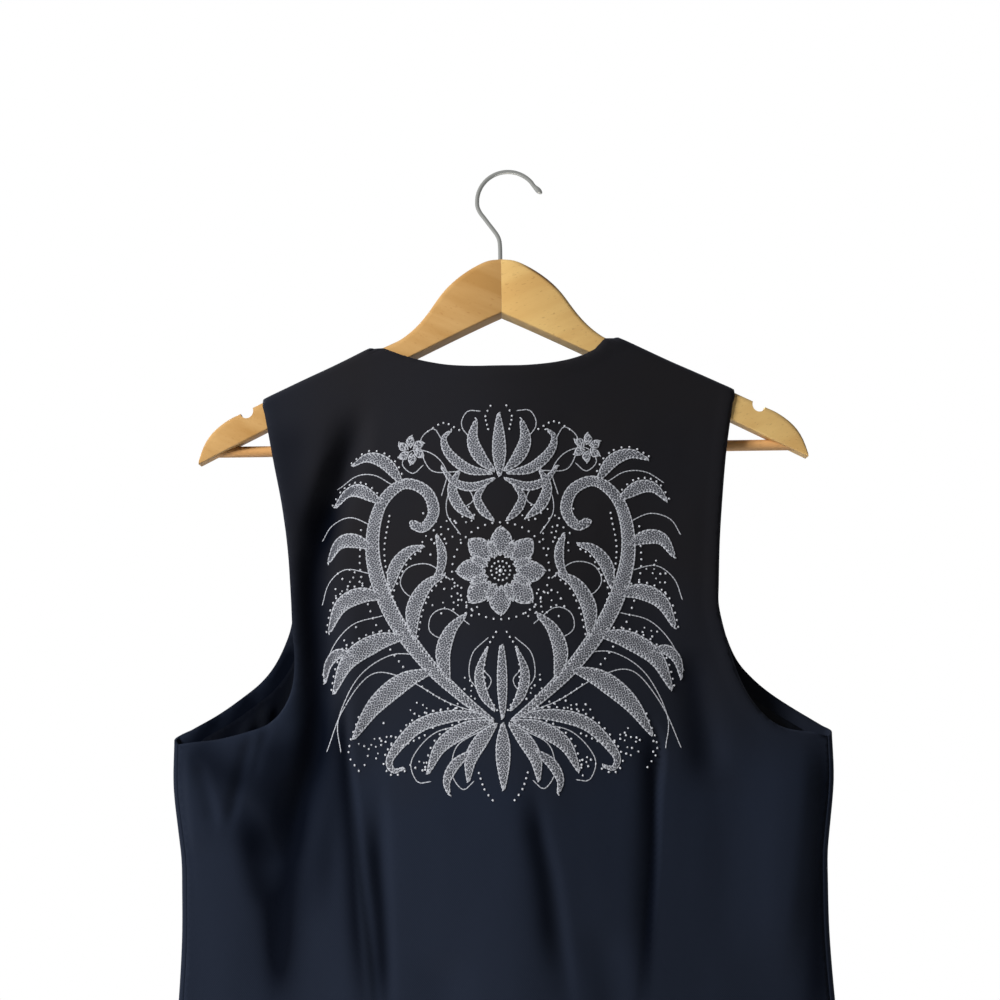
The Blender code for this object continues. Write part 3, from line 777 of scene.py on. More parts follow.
def twill_material(name, black, painted_crease_shade):
    """Worsted twill: a fine diagonal rib, black above, and navy lower down and outwards where
    cool light is painted in.
    """
    mat, tree, where = new_material(name)
    # Painted cool light: the tone turns navy towards the lower and outer cloth, standing in for
    # light from the room
    split = add(tree, "SeparateXYZ", {"Vector": where})
    height = add(tree, "MapRange", {"Value": (split, "Z"), "From Min": -0.28, "From Max": -0.50})
    left = add(tree, "MapRange", {"Value": (split, "X"), "From Min": -0.11, "From Max": -0.19,
                                  "To Max": 0.4})
    cool = add(tree, "Math", {"operation": "ADD", 0: height, 1: left})
    # Clouds 110 mm across break up the tone, and a nap of 1.1 mm the rib
    cloud = add(tree, "TexNoise", {"Vector": where, "Scale": 9.0, "Detail": 3.0})
    mixed = add(tree, "Math", {"operation": "MULTIPLY_ADD", 0: cloud, 1: 0.5, 2: cool})
    tone = add(tree, "ValToRGB", {"Fac": mixed, "stops": [
        (0.2, black), (0.75, "#1a1d25"), (1.0, "#191e29")]})
    turned = add(tree, "Mapping", {"Vector": where, "Rotation": (0.0, TWILL_SLANT, 0.0)})
    rib = add(tree, "TexWave", {"Vector": turned, "Scale": math.tau / (20.0 * TWILL_RIB * MM),
                                "Distortion": 1.2, "Detail": 2.0})
    nap = add(tree, "TexNoise", {"Vector": where, "Scale": 900.0, "Detail": 4.0})
    both = add(tree, "Math", {"operation": "MULTIPLY_ADD", 0: nap, 1: 0.6, 2: (rib, "Fac")})
    bump = add(tree, "Bump", {"Height": both, "Strength": 0.12, "Distance": 0.25 * MM})
    rough = add(tree, "MapRange", {"Value": cloud, "To Min": 0.52, "To Max": 0.68})
    # The creased twill gets painted shade in its deep creases
    return finish(mat, {
        "Base Color": hollowed(tree, tone) if painted_crease_shade else tone, "Roughness": rough,
        "Normal": bump, "Specular IOR Level": 0.06, "Sheen Weight": 0.04,
        "Sheen Roughness": 0.45, "Sheen Tint": "#8ea0c8"})


def satin_material():
    """Acetate satin lining: slippery, with a soft streaked gloss along the weave."""
    mat, tree, where = new_material("acetate_satin")
    # Streaks 1.1 mm wide and 17 mm long
    stretch = add(tree, "Mapping", {"Vector": where, "Scale": (900.0, 900.0, 60.0)})
    streak = add(tree, "TexNoise", {"Vector": stretch, "Scale": 1.0, "Detail": 3.0})
    tone = add(tree, "ValToRGB", {"Fac": streak, "stops": [(0.3, "#040509"), (0.7, "#0a0d13")]})
    bump = add(tree, "Bump", {"Height": streak, "Strength": 0.08, "Distance": 0.1 * MM})
    return finish(mat, {"Base Color": hollowed(tree, tone), "Normal": bump, "Roughness": 0.36,
                        "Specular IOR Level": 0.07})


def beech_material(name, light, dark, slope):
    """Steamed beech under clear satin lacquer: pale, with short brown flecks.

    Where an arm is marked along its top edge by the hook, that edge is painted a darker brown:
    painted shade where the edge turns from the light.
    """
    mat, tree, where = new_material(name)
    along = add(tree, "Mapping", {"Vector": where, "Rotation": (0.0, slope, 0.0)})
    # Grain 110 mm long and 8 mm wide, bands 330 by 33 mm, and flecks 4 by 1.1 mm
    grain, bands, fleck = [
        add(tree, "TexNoise", {
            "Vector": add(tree, "Mapping", {"Vector": along, "Scale": (long, fine, fine)}),
            "Scale": 1.0, "Detail": detail, "Roughness": rough})
        for long, fine, detail, rough in (
            (9.0, 120.0, 5.0, 0.6), (3.0, 30.0, 2.0, 0.5), (240.0, 900.0, 1.0, 0.5))]
    both = add(tree, "Math", {"operation": "MULTIPLY_ADD", 0: grain, 1: 0.55, 2: bands})
    tone = add(tree, "ValToRGB", {"Fac": both, "stops": [(0.55, dark), (0.95, light)]})
    spot = add(tree, "MapRange", {"Value": fleck, "From Min": 0.66, "From Max": 0.74,
                                  "To Max": 0.35})
    flecked = add(tree, "Mix", {"data_type": "RGBA", 0: spot, 6: tone, 7: "#8a5f33"})
    # Painted shade: the marked top edge is mixed to a darker brown
    scorch = add(tree, "Attribute", {"attribute_name": "scorch"})
    edge_shaded = add(tree, "Mix", {"data_type": "RGBA", 0: (scorch, "Fac"), 6: (flecked, 2),
                              7: "#6a4622"})
    bump = add(tree, "Bump", {"Height": grain, "Strength": 0.1, "Distance": 0.1 * MM})
    return finish(mat, {"Base Color": (edge_shaded, 2), "Normal": bump, "Roughness": 0.42,
                        "Specular IOR Level": 0.3, "Coat Weight": 0.05,
                        "Coat Roughness": 0.25})


def nickel_material():
    """Nickel plated steel wire: bright and a little cloudy from handling."""
    mat, tree, where = new_material("nickel_plated_steel")
    # Clouding about 6 mm across
    cloud = add(tree, "TexNoise", {"Vector": where, "Scale": 160.0, "Detail": 3.0})
    rough = add(tree, "MapRange", {"Value": cloud, "To Min": 0.16, "To Max": 0.3})
    return finish(mat, {"Base Color": "#c6c7c3", "Metallic": 1.0, "Roughness": rough})


def thread_material(name, light, dark):
    """Polished thread, or the glass beads sewn with it: it glints where it turns."""
    mat, tree, where = new_material(name)
    # Strands about 0.7 mm apart, as far as the render can show them
    strand = add(tree, "TexNoise", {"Vector": where, "Scale": 1500.0, "Detail": 2.0})
    tone = add(tree, "ValToRGB", {"Fac": strand, "stops": [(0.3, dark), (0.7, light)]})
    rough = add(tree, "MapRange", {"Value": strand, "To Min": 0.3, "To Max": 0.5})
    return finish(mat, {"Base Color": tone, "Roughness": rough, "Metallic": 0.25})


def resin_material():
    """Polyester resin button: polished black with a faint smoky figure."""
    mat, tree, where = new_material("polyester_resin")
    # Wisps about 4 mm across
    smoke = add(tree, "TexNoise", {"Vector": where, "Scale": 260.0, "Detail": 4.0,
                                   "Distortion": 1.5})
    tone = add(tree, "ValToRGB", {"Fac": smoke, "stops": [(0.4, "#0c0c0e"), (0.7, "#22222a")]})
    return finish(mat, {"Base Color": tone, "Roughness": 0.16})


def pale_floor_material():
    """Pale matt studio floor."""
    mat, tree, where = new_material("studio_floor_paint")
    # Patches half a metre across
    cloud = add(tree, "TexNoise", {"Vector": where, "Scale": 2.0})
    tone = add(tree, "ValToRGB", {"Fac": cloud, "stops": [(0.3, "#f1f1f0"), (0.7, "#f6f6f5")]})
    return finish(mat, {"Base Color": tone, "Roughness": 0.8})


def deselect():
    for obj in bpy.context.selected_objects:
        obj.select_set(False)


def work_on(obj):
    """Make one object the selected and active one."""
    deselect()
    obj.select_set(True)
    bpy.context.view_layer.objects.active = obj


def apply_modifier(obj, kind, **settings):
    work_on(obj)
    modifier = obj.modifiers.new(kind, kind)
    for key, value in settings.items():
        setattr(modifier, key, value)
    bpy.ops.object.modifier_apply(modifier=modifier.name)


def cut_with(obj, cutter):
    """Cut a shape out of a piece, and remove the cutter."""
    apply_modifier(obj, "BOOLEAN", operation="DIFFERENCE", solver="EXACT", object=cutter)
    bpy.data.objects.remove(cutter, do_unlink=True)


def mode(name):
    bpy.ops.object.mode_set(mode=name)


def rod(sides, radius, long, place, turn=(0.0, 0.0, 0.0)):
    """Add a round bar, with its sizes and place in millimetres."""
    deselect()
    bpy.ops.mesh.primitive_cylinder_add(vertices=sides, radius=radius * MM, depth=long * MM,
                                        location=Vector(place) * MM, rotation=turn)
    return bpy.context.active_object


def wire_mesh(name, routes, radius, sides, swell=()):
    """One mesh of round wires that follow the given routes, in millimetres."""
    curve = bpy.data.curves.new(name, "CURVE")
    curve.dimensions = "3D"
    curve.bevel_depth = radius * MM
    curve.bevel_resolution = sides
    curve.use_fill_caps = True
    for route in routes:
        spline = curve.splines.new("POLY")
        spline.points.add(len(route) - 1)
        for i, (point, place) in enumerate(zip(spline.points, route)):
            point.co = (*(Vector(place) * MM), 1.0)
            point.radius = swell[i] if i < len(swell) else 1.0
    work_on(linked(name, curve))
    bpy.ops.object.convert(target="MESH")
    return bpy.context.active_object


def finished(obj, name, mat, node=None, sharp=35.0):
    """Put the place into the mesh, name it, shade it and seat it on the body."""
    work_on(obj)
    bpy.ops.object.transform_apply(location=True, rotation=True, scale=True)
    bpy.ops.object.shade_smooth_by_angle(angle=math.radians(sharp))
    obj.name = name
    obj.data.name = name
    obj.data.materials.clear()
    obj.data.materials.append(mat)
    return seat(obj, node)


def select_edges(test):
    """In edit mode, select the edges whose two ends pass a test."""
    mesh = bpy.context.edit_object.data
    bm = bmesh.from_edit_mesh(mesh)
    bpy.ops.mesh.select_all(action="DESELECT")
    bpy.ops.mesh.select_mode(type="EDGE")
    for edge in bm.edges:
        edge.select = test(edge)
    bm.select_flush_mode()
    bmesh.update_edit_mesh(mesh)


def arm_stations():
    """Distances along an arm, closer together where its outline turns."""
    middle = list(np.linspace(0.02, 75.0, 34))
    straight = list(np.linspace(80.0, 196.0, 30))
    return middle + straight + [199.0, 202.0, 205.0, 208.0, 211.0, 213.6, 216.0, 218.0, 219.8,
                                ARM_REACH]


def paint_edge_shade(arm):
    """Mark the top edge by the hook on its shown side, where painted shade darkens it brown."""
    # It fades in from 11 mm out and out by 44 mm, and is under 3 mm high
    scorch = arm.data.attributes.new("scorch", "FLOAT", "POINT")
    for vert, value in zip(arm.data.vertices, scorch.data):
        x, y, z = vert.co / MM
        out = hanger_out(x)
        slope = math.atan((arm_top(out - 1.0) - arm_top(out + 1.0)) / 2.0)
        below = (arm_top(out) - z) * math.cos(slope)
        along = ease((out - 11.0) / 12.0) * ease((44.0 - out) / 9.0)
        value.value = along * (1.0 - ease((below - 1.2) / 1.4)) if y < arm_middle(out) else 0.0


def hanger_arm(sign, mat):
    """One wooden half, extruded from the middle out along its sweep, and rounded."""
    stations = arm_stations()

    def section(out):
        top, low = arm_top(out), arm_low(out)
        return Vector((HANGER_X + sign * out, arm_middle(out), (top + low) / 2)) * MM, top - low

    middle, high = section(stations[0])
    deselect()
    bpy.ops.mesh.primitive_plane_add(size=1.0, location=middle,
                                     rotation=(0.0, sign * QUARTER, 0.0))
    arm = bpy.context.active_object
    arm.scale = (high * MM, 2.0 * ARM_HALF_DEPTH * MM, 1.0)
    bpy.ops.object.transform_apply(location=True, rotation=True, scale=True)
    mode("EDIT")
    bpy.ops.mesh.select_mode(type="FACE")
    bpy.ops.mesh.select_all(action="SELECT")
    for out in stations[1:]:
        after, new_high = section(out)
        bpy.ops.mesh.extrude_region_move(
            TRANSFORM_OT_translate={"value": tuple(after - middle)})
        bpy.ops.transform.resize(value=(1.0, 1.0, new_high / high), center_override=after)
        middle, high = after, new_high
    bpy.ops.mesh.select_all(action="SELECT")
    bpy.ops.mesh.normals_make_consistent(inside=False)

    mode("OBJECT")
    weight = arm.data.attributes.new("bevel_weight_edge", "FLOAT", "EDGE")
    for edge, value in zip(arm.data.edges, weight.data):
        ends = [arm.data.vertices[i].co / MM for i in edge.vertices]
        outs = [hanger_out(p.x) for p in ends]
        if abs(outs[0] - outs[1]) < 0.01:
            continue
        width = ARM_LOW_CORNER
        if all(abs(p.z - arm_top(out)) < 0.02 for p, out in zip(ends, outs)):
            near, far = min(outs), max(outs)
            fall = math.hypot(1.0, (arm_top(near) - arm_top(far)) / (far - near))
            width = min(ARM_CORNER, 0.42 * (arm_top(far) - arm_low(far)) / fall)
        elif max(outs) > 214.0:
            width = 0.5
        value.value = width / ARM_CORNER
    apply_modifier(arm, "BEVEL", width=ARM_CORNER * MM, segments=5, limit_method="WEIGHT",
                   use_clamp_overlap=False)
    mode("EDIT")
    # The underside slants down towards the vest's front
    bm = bmesh.from_edit_mesh(arm.data)
    for vert in bm.verts:
        out = hanger_out(vert.co.x / MM)
        if vert.co.z / MM < arm_low(out) + 2.0 and vert.co.y / MM > arm_middle(out):
            vert.co.z -= ARM_LOW_SLANT * MM * (1.0 - ease((out - 120.0) / 40.0))
    bmesh.update_edit_mesh(arm.data)
    mode("OBJECT")

    notch_at = (HANGER_X + sign * NOTCH_AT, arm_middle(NOTCH_AT), NOTCH_Z)
    cut_with(arm, rod(48, NOTCH_R, 60.0, notch_at, (QUARTER, 0.0, 0.0)))
    socket_at = (HANGER_X + sign * (SOCKET_END - SOCKET_LONG / 2), BAR_Y, BAR_Z)
    cut_with(arm, rod(40, BAR_R + SOCKET_PLAY, SOCKET_LONG, socket_at, (0.0, QUARTER, 0.0)))
    side = side_name(sign)
    finished(arm, "beech_arm_" + side, mat, "hanger_arm_" + side)
    # Only the right arm's top edge gets the painted shade
    if sign > 0:
        paint_edge_shade(arm)


def hanger_bar(mat):
    """The round bar, turned from one length, its ends eased into the sockets."""
    bar = rod(48, BAR_R, 2 * BAR_END, (HANGER_X, BAR_Y, BAR_Z), (0.0, QUARTER, 0.0))
    mode("EDIT")
    select_edges(lambda edge: abs(edge.verts[0].co.z - edge.verts[1].co.z) < 1e-5)
    bpy.ops.mesh.bevel(offset=0.8 * MM, segments=3)
    mode("OBJECT")
    return finished(bar, "beech_bar", mat, "hanger_bar")


def hook(mat):
    """Bent wire hook: an arch with a swelled, rounded end, and a stem into the wood."""
    middle_z = WIRE_R - ARCH_R
    arch = [(ARCH_R * math.cos(math.radians(a)), middle_z + ARCH_R * math.sin(math.radians(a)))
            for a in range(30, 191, 10)]
    route = smooth_line([HOOK_END] + arch + HOOK_TAIL + [(STEM_X, arm_top(0.0) + 0.05)], 1.0)
    wire = wire_mesh("hook_wire", [[(x, 0.0, z) for x, z in route]], WIRE_R, 6, HOOK_SWELL)
    mode("EDIT")
    bpy.ops.mesh.select_all(action="SELECT")
    bpy.ops.mesh.remove_doubles(threshold=0.00001)
    bpy.ops.mesh.normals_make_consistent(inside=False)
    mode("OBJECT")
    return finished(wire, "wire_hook", mat, "hook", sharp=60.0)


def button():
    """One button with a dished middle, a raised rim and four holes."""
    obj = rod(48, BUTTON_FOOT_R, BUTTON_RIM_LOW, (0.0, 0.0, BUTTON_RIM_LOW / 2))
    mode("EDIT")
    bpy.ops.mesh.select_mode(type="FACE")
    bpy.ops.mesh.select_all(action="DESELECT")
    bm = bmesh.from_edit_mesh(obj.data)
    for face in bm.faces:
        face.select = face.normal.z > 0.9
    bmesh.update_edit_mesh(obj.data)
    wide = BUTTON_R / BUTTON_FOOT_R
    bpy.ops.transform.resize(value=(wide, wide, 1.0))
    bpy.ops.mesh.inset(thickness=1.0 * MM)
    bpy.ops.transform.translate(value=(0.0, 0.0, (BUTTON_HIGH - BUTTON_RIM_LOW) * MM))
    bpy.ops.mesh.inset(thickness=1.0 * MM)
    bpy.ops.mesh.inset(thickness=0.9 * MM)
    bpy.ops.transform.translate(value=(0.0, 0.0, (BUTTON_DISH - BUTTON_HIGH) * MM))
    select_edges(lambda edge: len(edge.link_faces) == 2 and edge.calc_face_angle() > 0.35
                 and abs(edge.verts[0].co.z - edge.verts[1].co.z) < 1e-6)
    bpy.ops.mesh.bevel(offset=0.25 * MM, segments=3)
    mode("OBJECT")
    for x in (-BUTTON_HOLE, BUTTON_HOLE):
        for y in (-BUTTON_HOLE, BUTTON_HOLE):
            cut_with(obj, rod(16, 0.75, 20.0, (x, y, 0.0)))
    return obj


def button_places():
    face = FRONT_Y + WALL + PIECE_GAP + BUTTON_CLEAR
    for number in range(1, BUTTONS + 1):
        z = BUTTON_FIRST_Z - (number - 1) * BUTTON_STEP
        yield number, Matrix.Translation(Vector((VEST_X, face, z)) * MM) @ Matrix.Rotation(
            -QUARTER, 4, "X")


def buttons(mat):
    first = button()
    for number, place in button_places():
        mesh = first.data.copy()
        mesh.transform(place)
        finished(linked("copy", mesh), "resin_button_%d" % number, mat, "button_%d" % number,
                 sharp=30.0)
    bpy.data.objects.remove(first, do_unlink=True)


def button_threads(mat):
    """Two crossed stitches through each button's holes, and the worked buttonholes."""
    routes = []
    for _, place in button_places():
        place = Matrix.Translation(place.translation / MM) @ place.to_3x3().to_4x4()
        for lean in (1.0, -1.0):
            for side in (-0.18, 0.18):
                stitches = []
                for i in range(9):
                    across = BUTTON_HOLE * (i / 4 - 1.0)
                    rise = 0.9 + 1.35 * math.sin(math.pi * i / 8) ** 0.5
                    stitches.append(place @ Vector((across + side, lean * across - side, rise)))
                routes.append(stitches)
        routes.append([place @ Vector((2.0 + 11.0 * math.cos(math.tau * i / 28),
                                       0.9 * math.sin(math.tau * i / 28), -0.25))
                       for i in range(29)])
    obj = wire_mesh("button_threads", routes, 0.28, 1)
    return finished(obj, "button_threads", mat, sharp=80.0)


# Embroidery: scrolls, leaves and flowers in the order they are sewn. Every
# motif is given for the wearer's right half and mirrored. A blade is a route
# of its middle line with half widths along it. The design is drawn a little
# larger than it is sewn.
SEWN_WIDE = 0.92
SEWN_HIGH = 0.9155
SEWN_TOP = -170.0
DRAWN_TOP = -164.0
PAD_HIGH = 0.7
PAD_SINK = 0.35
FILL_STEP = 1.55
FILL_ACROSS = 1.75
FILL_LONG = 3.0
FILL_WIDE = 0.5
RIM_WIDE = 0.6
RUN_LONG = 2.65
RUN_WIDE = 0.36
BEAD_R = 0.9
BEAD_APART = 3.0
BEAD_SIDES = 7
FULLER = 0.96

LEAF = [0.16, 0.55, 0.86, 1.0, 0.98, 0.86, 0.66, 0.42, 0.12]
PLUME = [0.35, 0.62, 0.82, 0.95, 1.0, 0.98, 0.9, 0.74, 0.5, 0.12]
SCROLL = [0.2, 0.55, 0.8, 0.95, 1.0, 0.95, 0.85, 0.72, 0.62, 0.72, 0.5]
PETAL = [0.3, 0.62, 0.9, 1.0, 0.92, 0.6, 0.15]

# Filled shapes of the right half: route, half width and profile
BLADES = [
    # The two great scrolls rise from the foot and curl in at the top
    ([(7, -402), (30, -384), (58, -356), (84, -318), (97, -276), (92, -240),
      (74, -222), (56, -228), (50, -244), (58, -256), (68, -252)], 5.4, SCROLL),
    # Leaves along the outer side of the scroll
    ([(52, -364), (74, -372), (96, -390), (112, -414)], 6.6, LEAF),
    ([(72, -338), (94, -342), (116, -356), (128, -380)], 6.4, LEAF),
    ([(88, -308), (106, -306), (122, -314), (132, -334)], 5.6, LEAF),
    ([(97, -270), (112, -264), (124, -266), (133, -280)], 4.8, LEAF),
    ([(90, -236), (106, -226), (118, -226), (128, -236)], 4.4, LEAF),
    ([(74, -222), (86, -206), (100, -200), (114, -204)], 4.2, LEAF),
    # Leaves on its inner side
    ([(40, -372), (44, -352), (38, -334), (26, -322)], 5.0, LEAF),
    ([(66, -340), (66, -318), (56, -300), (42, -292)], 5.2, LEAF),
    ([(84, -304), (80, -286), (70, -274), (58, -270)], 4.4, LEAF),
    # Small leaves round the middle flower
    ([(6, -394), (14, -382), (17, -366), (11, -348)], 3.2, LEAF),
    ([(20, -250), (31, -240), (36, -226), (30, -212)], 3.6, LEAF),
    ([(5, -252), (13, -244), (17, -234), (10, -224)], 2.8, LEAF),
    ([(48, -262), (44, -276), (46, -290), (54, -298)], 3.0, LEAF),
    ([(112, -352), (124, -350), (133, -358), (136, -372)], 3.4, LEAF),
    ([(24, -424), (36, -434), (42, -446), (40, -456)], 3.2, LEAF),
    # Fan of long leaves at the foot
    ([(5, -404), (16, -416), (24, -430), (26, -446)], 4.8, LEAF),
    ([(8, -402), (28, -408), (46, -420), (56, -440)], 5.2, LEAF),
    ([(12, -398), (38, -398), (64, -406), (84, -428), (82, -438), (74, -436)], 4.4, LEAF),
    # Lily at the head
    ([(4, -214), (14, -204), (20, -190), (17, -174)], 4.4, LEAF),
    ([(6, -216), (24, -212), (38, -200), (42, -188), (36, -182)], 3.4, LEAF),
    ([(4, -220), (20, -226), (34, -222), (44, -210)], 2.8, LEAF)]

# Those on the middle line, which aren't mirrored
MIDDLE_BLADES = [
    ([(0, -218), (0, -204), (0, -188), (0, -170)], 4.6, LEAF),
    ([(0, -404), (0, -418), (0, -434), (0, -452)], 4.8, LEAF),
    ([(0, -346), (0, -362), (0, -382), (0, -400)], 3.2, PLUME)]

FLOWER = (0.0, -290.0)
SIDE_FLOWER = (67.0, -196.0)

# Routes of the thin running stitches on the right half
TENDRILS = [
    [(10, -398), (40, -388), (72, -370), (98, -366), (120, -392), (134, -424)],
    [(60, -352), (84, -352), (108, -368), (124, -400), (122, -424)],
    [(90, -322), (112, -328), (128, -344), (138, -366)],
    [(98, -290), (118, -286), (132, -296), (138, -312)],
    [(96, -254), (114, -246), (130, -250), (138, -262)],
    [(82, -222), (96, -214), (112, -214), (126, -222)],
    [(24, -330), (40, -318), (52, -322), (54, -334), (44, -340), (36, -332)],
    [(38, -296), (54, -284), (70, -286), (76, -298), (68, -308), (58, -302)],
    [(30, -262), (40, -246), (38, -230), (26, -226), (20, -236), (28, -242)],
    [(44, -232), (40, -214), (50, -200), (66, -196), (74, -206), (66, -214), (58, -208)],
    [(10, -340), (22, -352), (24, -370), (14, -380), (8, -372), (14, -364)],
    [(14, -408), (34, -420), (38, -440), (30, -452), (22, -446)],
    [(20, -404), (50, -410), (68, -430), (64, -446), (54, -446)],
    [(14, -196), (28, -180), (24, -168), (14, -168)],
    [(30, -214), (52, -212), (60, -190), (50, -180), (44, -188)]]

# Routes that beads follow on the right half, with their spacing
BEAD_RUNS = [
    ([(16, -396), (36, -376), (62, -346), (80, -312), (88, -276), (84, -246)], 4.6),
    ([(34, -392), (64, -372), (92, -334), (106, -292), (106, -256)], 5.4),
    ([(4, -336), (12, -352), (12, -378), (4, -394)], 4.4),
    ([(18, -440), (14, -452), (8, -460)], 4.4),
    ([(58, -412), (78, -420), (92, -414)], 4.6),
    ([(30, -182), (42, -176), (54, -182)], 4.4),
    ([(8, -182), (10, -172), (6, -164)], 4.0),
    ([(108, -398), (116, -424), (108, -438)], 5.0)]

# Patches strewn with beads: centre, spread across and up, count
BEAD_CLOUDS = [
    ((30, -310), (16, 14), 30), ((46, -262), (12, 14), 26), ((26, -382), (9, 12), 18),
    ((96, -420), (12, 10), 16), ((56, -394), (12, 8), 14), ((118, -296), (10, 16), 14),
    ((108, -342), (10, 9), 12), ((24, -246), (10, 8), 12), ((62, -434), (8, 6), 8)]


def flower_blades(centre, petals, inner, outer, half, turn=0.0):
    """Petals round a flower's centre."""
    shapes = []
    for i in range(petals):
        angle = math.radians(turn + 360.0 * i / petals)
        along = Vector((math.sin(angle), math.cos(angle)))
        aside = Vector((along.y, -along.x))
        middle = Vector(centre)
        route = [middle + along * inner, middle + along * (0.5 * (inner + outer)) + aside * 0.8,
                 middle + along * outer]
        shapes.append(([tuple(p) for p in route], half, PETAL))
    return shapes


class Cover:
    """Points, their rise over the cloth, and faces of a mesh that lies on the back."""

    def __init__(self):
        self.flat = []
        self.rise = []
        self.faces = []

    def point(self, v, z, rise):
        self.flat.append((v, z))
        self.rise.append(rise)
        return len(self.flat) - 1

    def build(self, name, mat, wall=0.0):
        """Lay the points on the folded back and make the piece."""
        mesh = bpy.data.meshes.new(name)
        mesh.from_pydata([Vector(place_back(v, z, depth - rise)) * MM for (v, z), depth, rise
                          in zip(self.flat, back_depth(self.flat), self.rise)], [], self.faces)
        mesh.shade_smooth()
        obj = new_piece(name, mesh, [mat])
        if wall:
            solid = obj.modifiers.new("Wall", "SOLIDIFY")
            solid.thickness = wall * MM
            solid.offset = -1.0


def laid(point):
    """Where a point of the drawn design is sewn on the back."""
    return SEWN_WIDE * point[0], SEWN_TOP + SEWN_HIGH * (point[1] - DRAWN_TOP)


def sewn_line(route, step, mirror):
    """Points every step or so along a drawn route, where it is sewn on one half."""
    line = [laid(p) for p in smooth_line(route, step / SEWN_WIDE)]
    return [Vector(p) for p in (mirrored(line) if mirror < 0 else line)]


def blade_frame(route, half, profile, mirror):
    """Middle points, side directions and half widths along a blade."""
    line = sewn_line(route, FILL_STEP, mirror)
    stops = np.linspace(0.0, 1.0, len(profile))
    frames = []
    for i, point in enumerate(line):
        ahead = line[min(i + 1, len(line) - 1)] - line[max(i - 1, 0)]
        ahead.normalize()
        wide = FULLER * half * float(np.interp(i / (len(line) - 1), stops, profile))
        frames.append((point, Vector((-ahead.y, ahead.x)), ahead, wide))
    return frames


def pad(cover, frames):
    """A low padded ground under the stitches, sunk at its rim."""
    shares = [-1.0, -0.72, -0.3, 0.3, 0.72, 1.0]
    rises = [-PAD_SINK, 0.6 * PAD_HIGH, PAD_HIGH, PAD_HIGH, 0.6 * PAD_HIGH, -PAD_SINK]
    rows = []
    for i, (point, aside, _, wide) in enumerate(frames):
        soft = min(1.0, i / 2.0, (len(frames) - 1 - i) / 2.0)
        rows.append([cover.point(*(point + aside * wide * share),
                                 rise * soft if rise > 0.0 else rise)
                     for share, rise in zip(shares, rises)])
    for a, b in zip(rows, rows[1:]):
        for j in range(len(shares) - 1):
            cover.faces.append((a[j], a[j + 1], b[j + 1], b[j]))


def stitch(cover, point, along, long, wide, high, low):
    """One stitch: a short spindle of thread that dips into the cloth at its ends."""
    aside = Vector((-along.y, along.x))
    first = cover.point(*(point - along * long / 2), low)
    rings = []
    for share in (-0.24, 0.24):
        middle = point + along * long * share
        rings.append([cover.point(*(middle + aside * wide), low + 0.35 * (high - low)),
                      cover.point(*middle, high),
                      cover.point(*(middle - aside * wide), low + 0.35 * (high - low))])
    last = cover.point(*(point + along * long / 2), low)
    a, b = rings
    cover.faces += [(first, a[1], a[0]), (first, a[2], a[1]),
                    (a[0], a[1], b[1], b[0]), (a[1], a[2], b[2], b[1]),
                    (last, b[0], b[1]), (last, b[1], b[2])]


def fill_stitches(cover, frames, rng):
    """A net of crossing stitches over a blade, with small gaps between them."""
    for i, (point, aside, ahead, wide) in enumerate(frames):
        count = max(1, round((2.0 * wide - 1.6) / FILL_ACROSS))
        for j in range(count):
            share = ((j + 0.5 + 0.25 * (-1) ** i) / count * 2.0 - 1.0) * (1.0 - 0.8 / wide)
            turn = 0.8 if (i + j) % 2 else -0.8
            turn += rng.uniform(-0.14, 0.14)
            along = (ahead * math.cos(turn) + aside * math.sin(turn)).normalized()
            dome = PAD_HIGH * (1.0 - share * share * 0.55)
            high = dome + 0.34 + rng.uniform(0.0, 0.12)
            place = point + aside * wide * share
            stitch(cover, place, along, FILL_LONG * rng.uniform(0.88, 1.08), FILL_WIDE,
                   high, dome - 0.3)


def rim_stitches(cover, frames):
    """A bright corded line of long stitches round a blade."""
    for turn in (-1.0, 1.0):
        line = [point + aside * wide * turn for point, aside, _, wide in frames]
        for a, b in zip(line[::2], line[2::2]):
            if (b - a).length > 0.8:
                stitch(cover, (a + b) / 2, (b - a).normalized(), (b - a).length * 1.25,
                       RIM_WIDE, 0.95, -0.2)


def bead_border(cover, frames, turn, gap=4.0):
    """Beads sewn close along one side of a blade."""
    line = [point + aside * (wide + 1.7) * turn for point, aside, _, wide in frames]
    since = gap
    for a, b in zip(line, line[1:]):
        since += (b - a).length
        if since >= gap:
            since = 0.0
            bead(cover, b.x, b.y, BEAD_R)


def running_stitches(cover, route, mirror):
    """A thin line of separate short stitches."""
    line = sewn_line(route, RUN_LONG, mirror)
    for a, b in zip(line, line[1:]):
        stitch(cover, (a + b) / 2, (b - a).normalized(), 1.35 * (b - a).length, RUN_WIDE,
               0.55, 0.0)


def bead(cover, v, z, radius):
    """A small faceted dome sewn to the cloth."""
    crown = cover.point(v, z, radius * 1.25)
    upper, lower = [[cover.point(v + share * radius * math.cos(math.tau * i / BEAD_SIDES),
                                 z + share * radius * math.sin(math.tau * i / BEAD_SIDES), rise)
                     for i in range(BEAD_SIDES)]
                    for share, rise in ((0.62, radius * 0.95), (1.0, -0.3))]
    for i in range(BEAD_SIDES):
        j = (i + 1) % BEAD_SIDES
        cover.faces.append((crown, upper[i], upper[j]))
        cover.faces.append((upper[i], lower[i], lower[j], upper[j]))


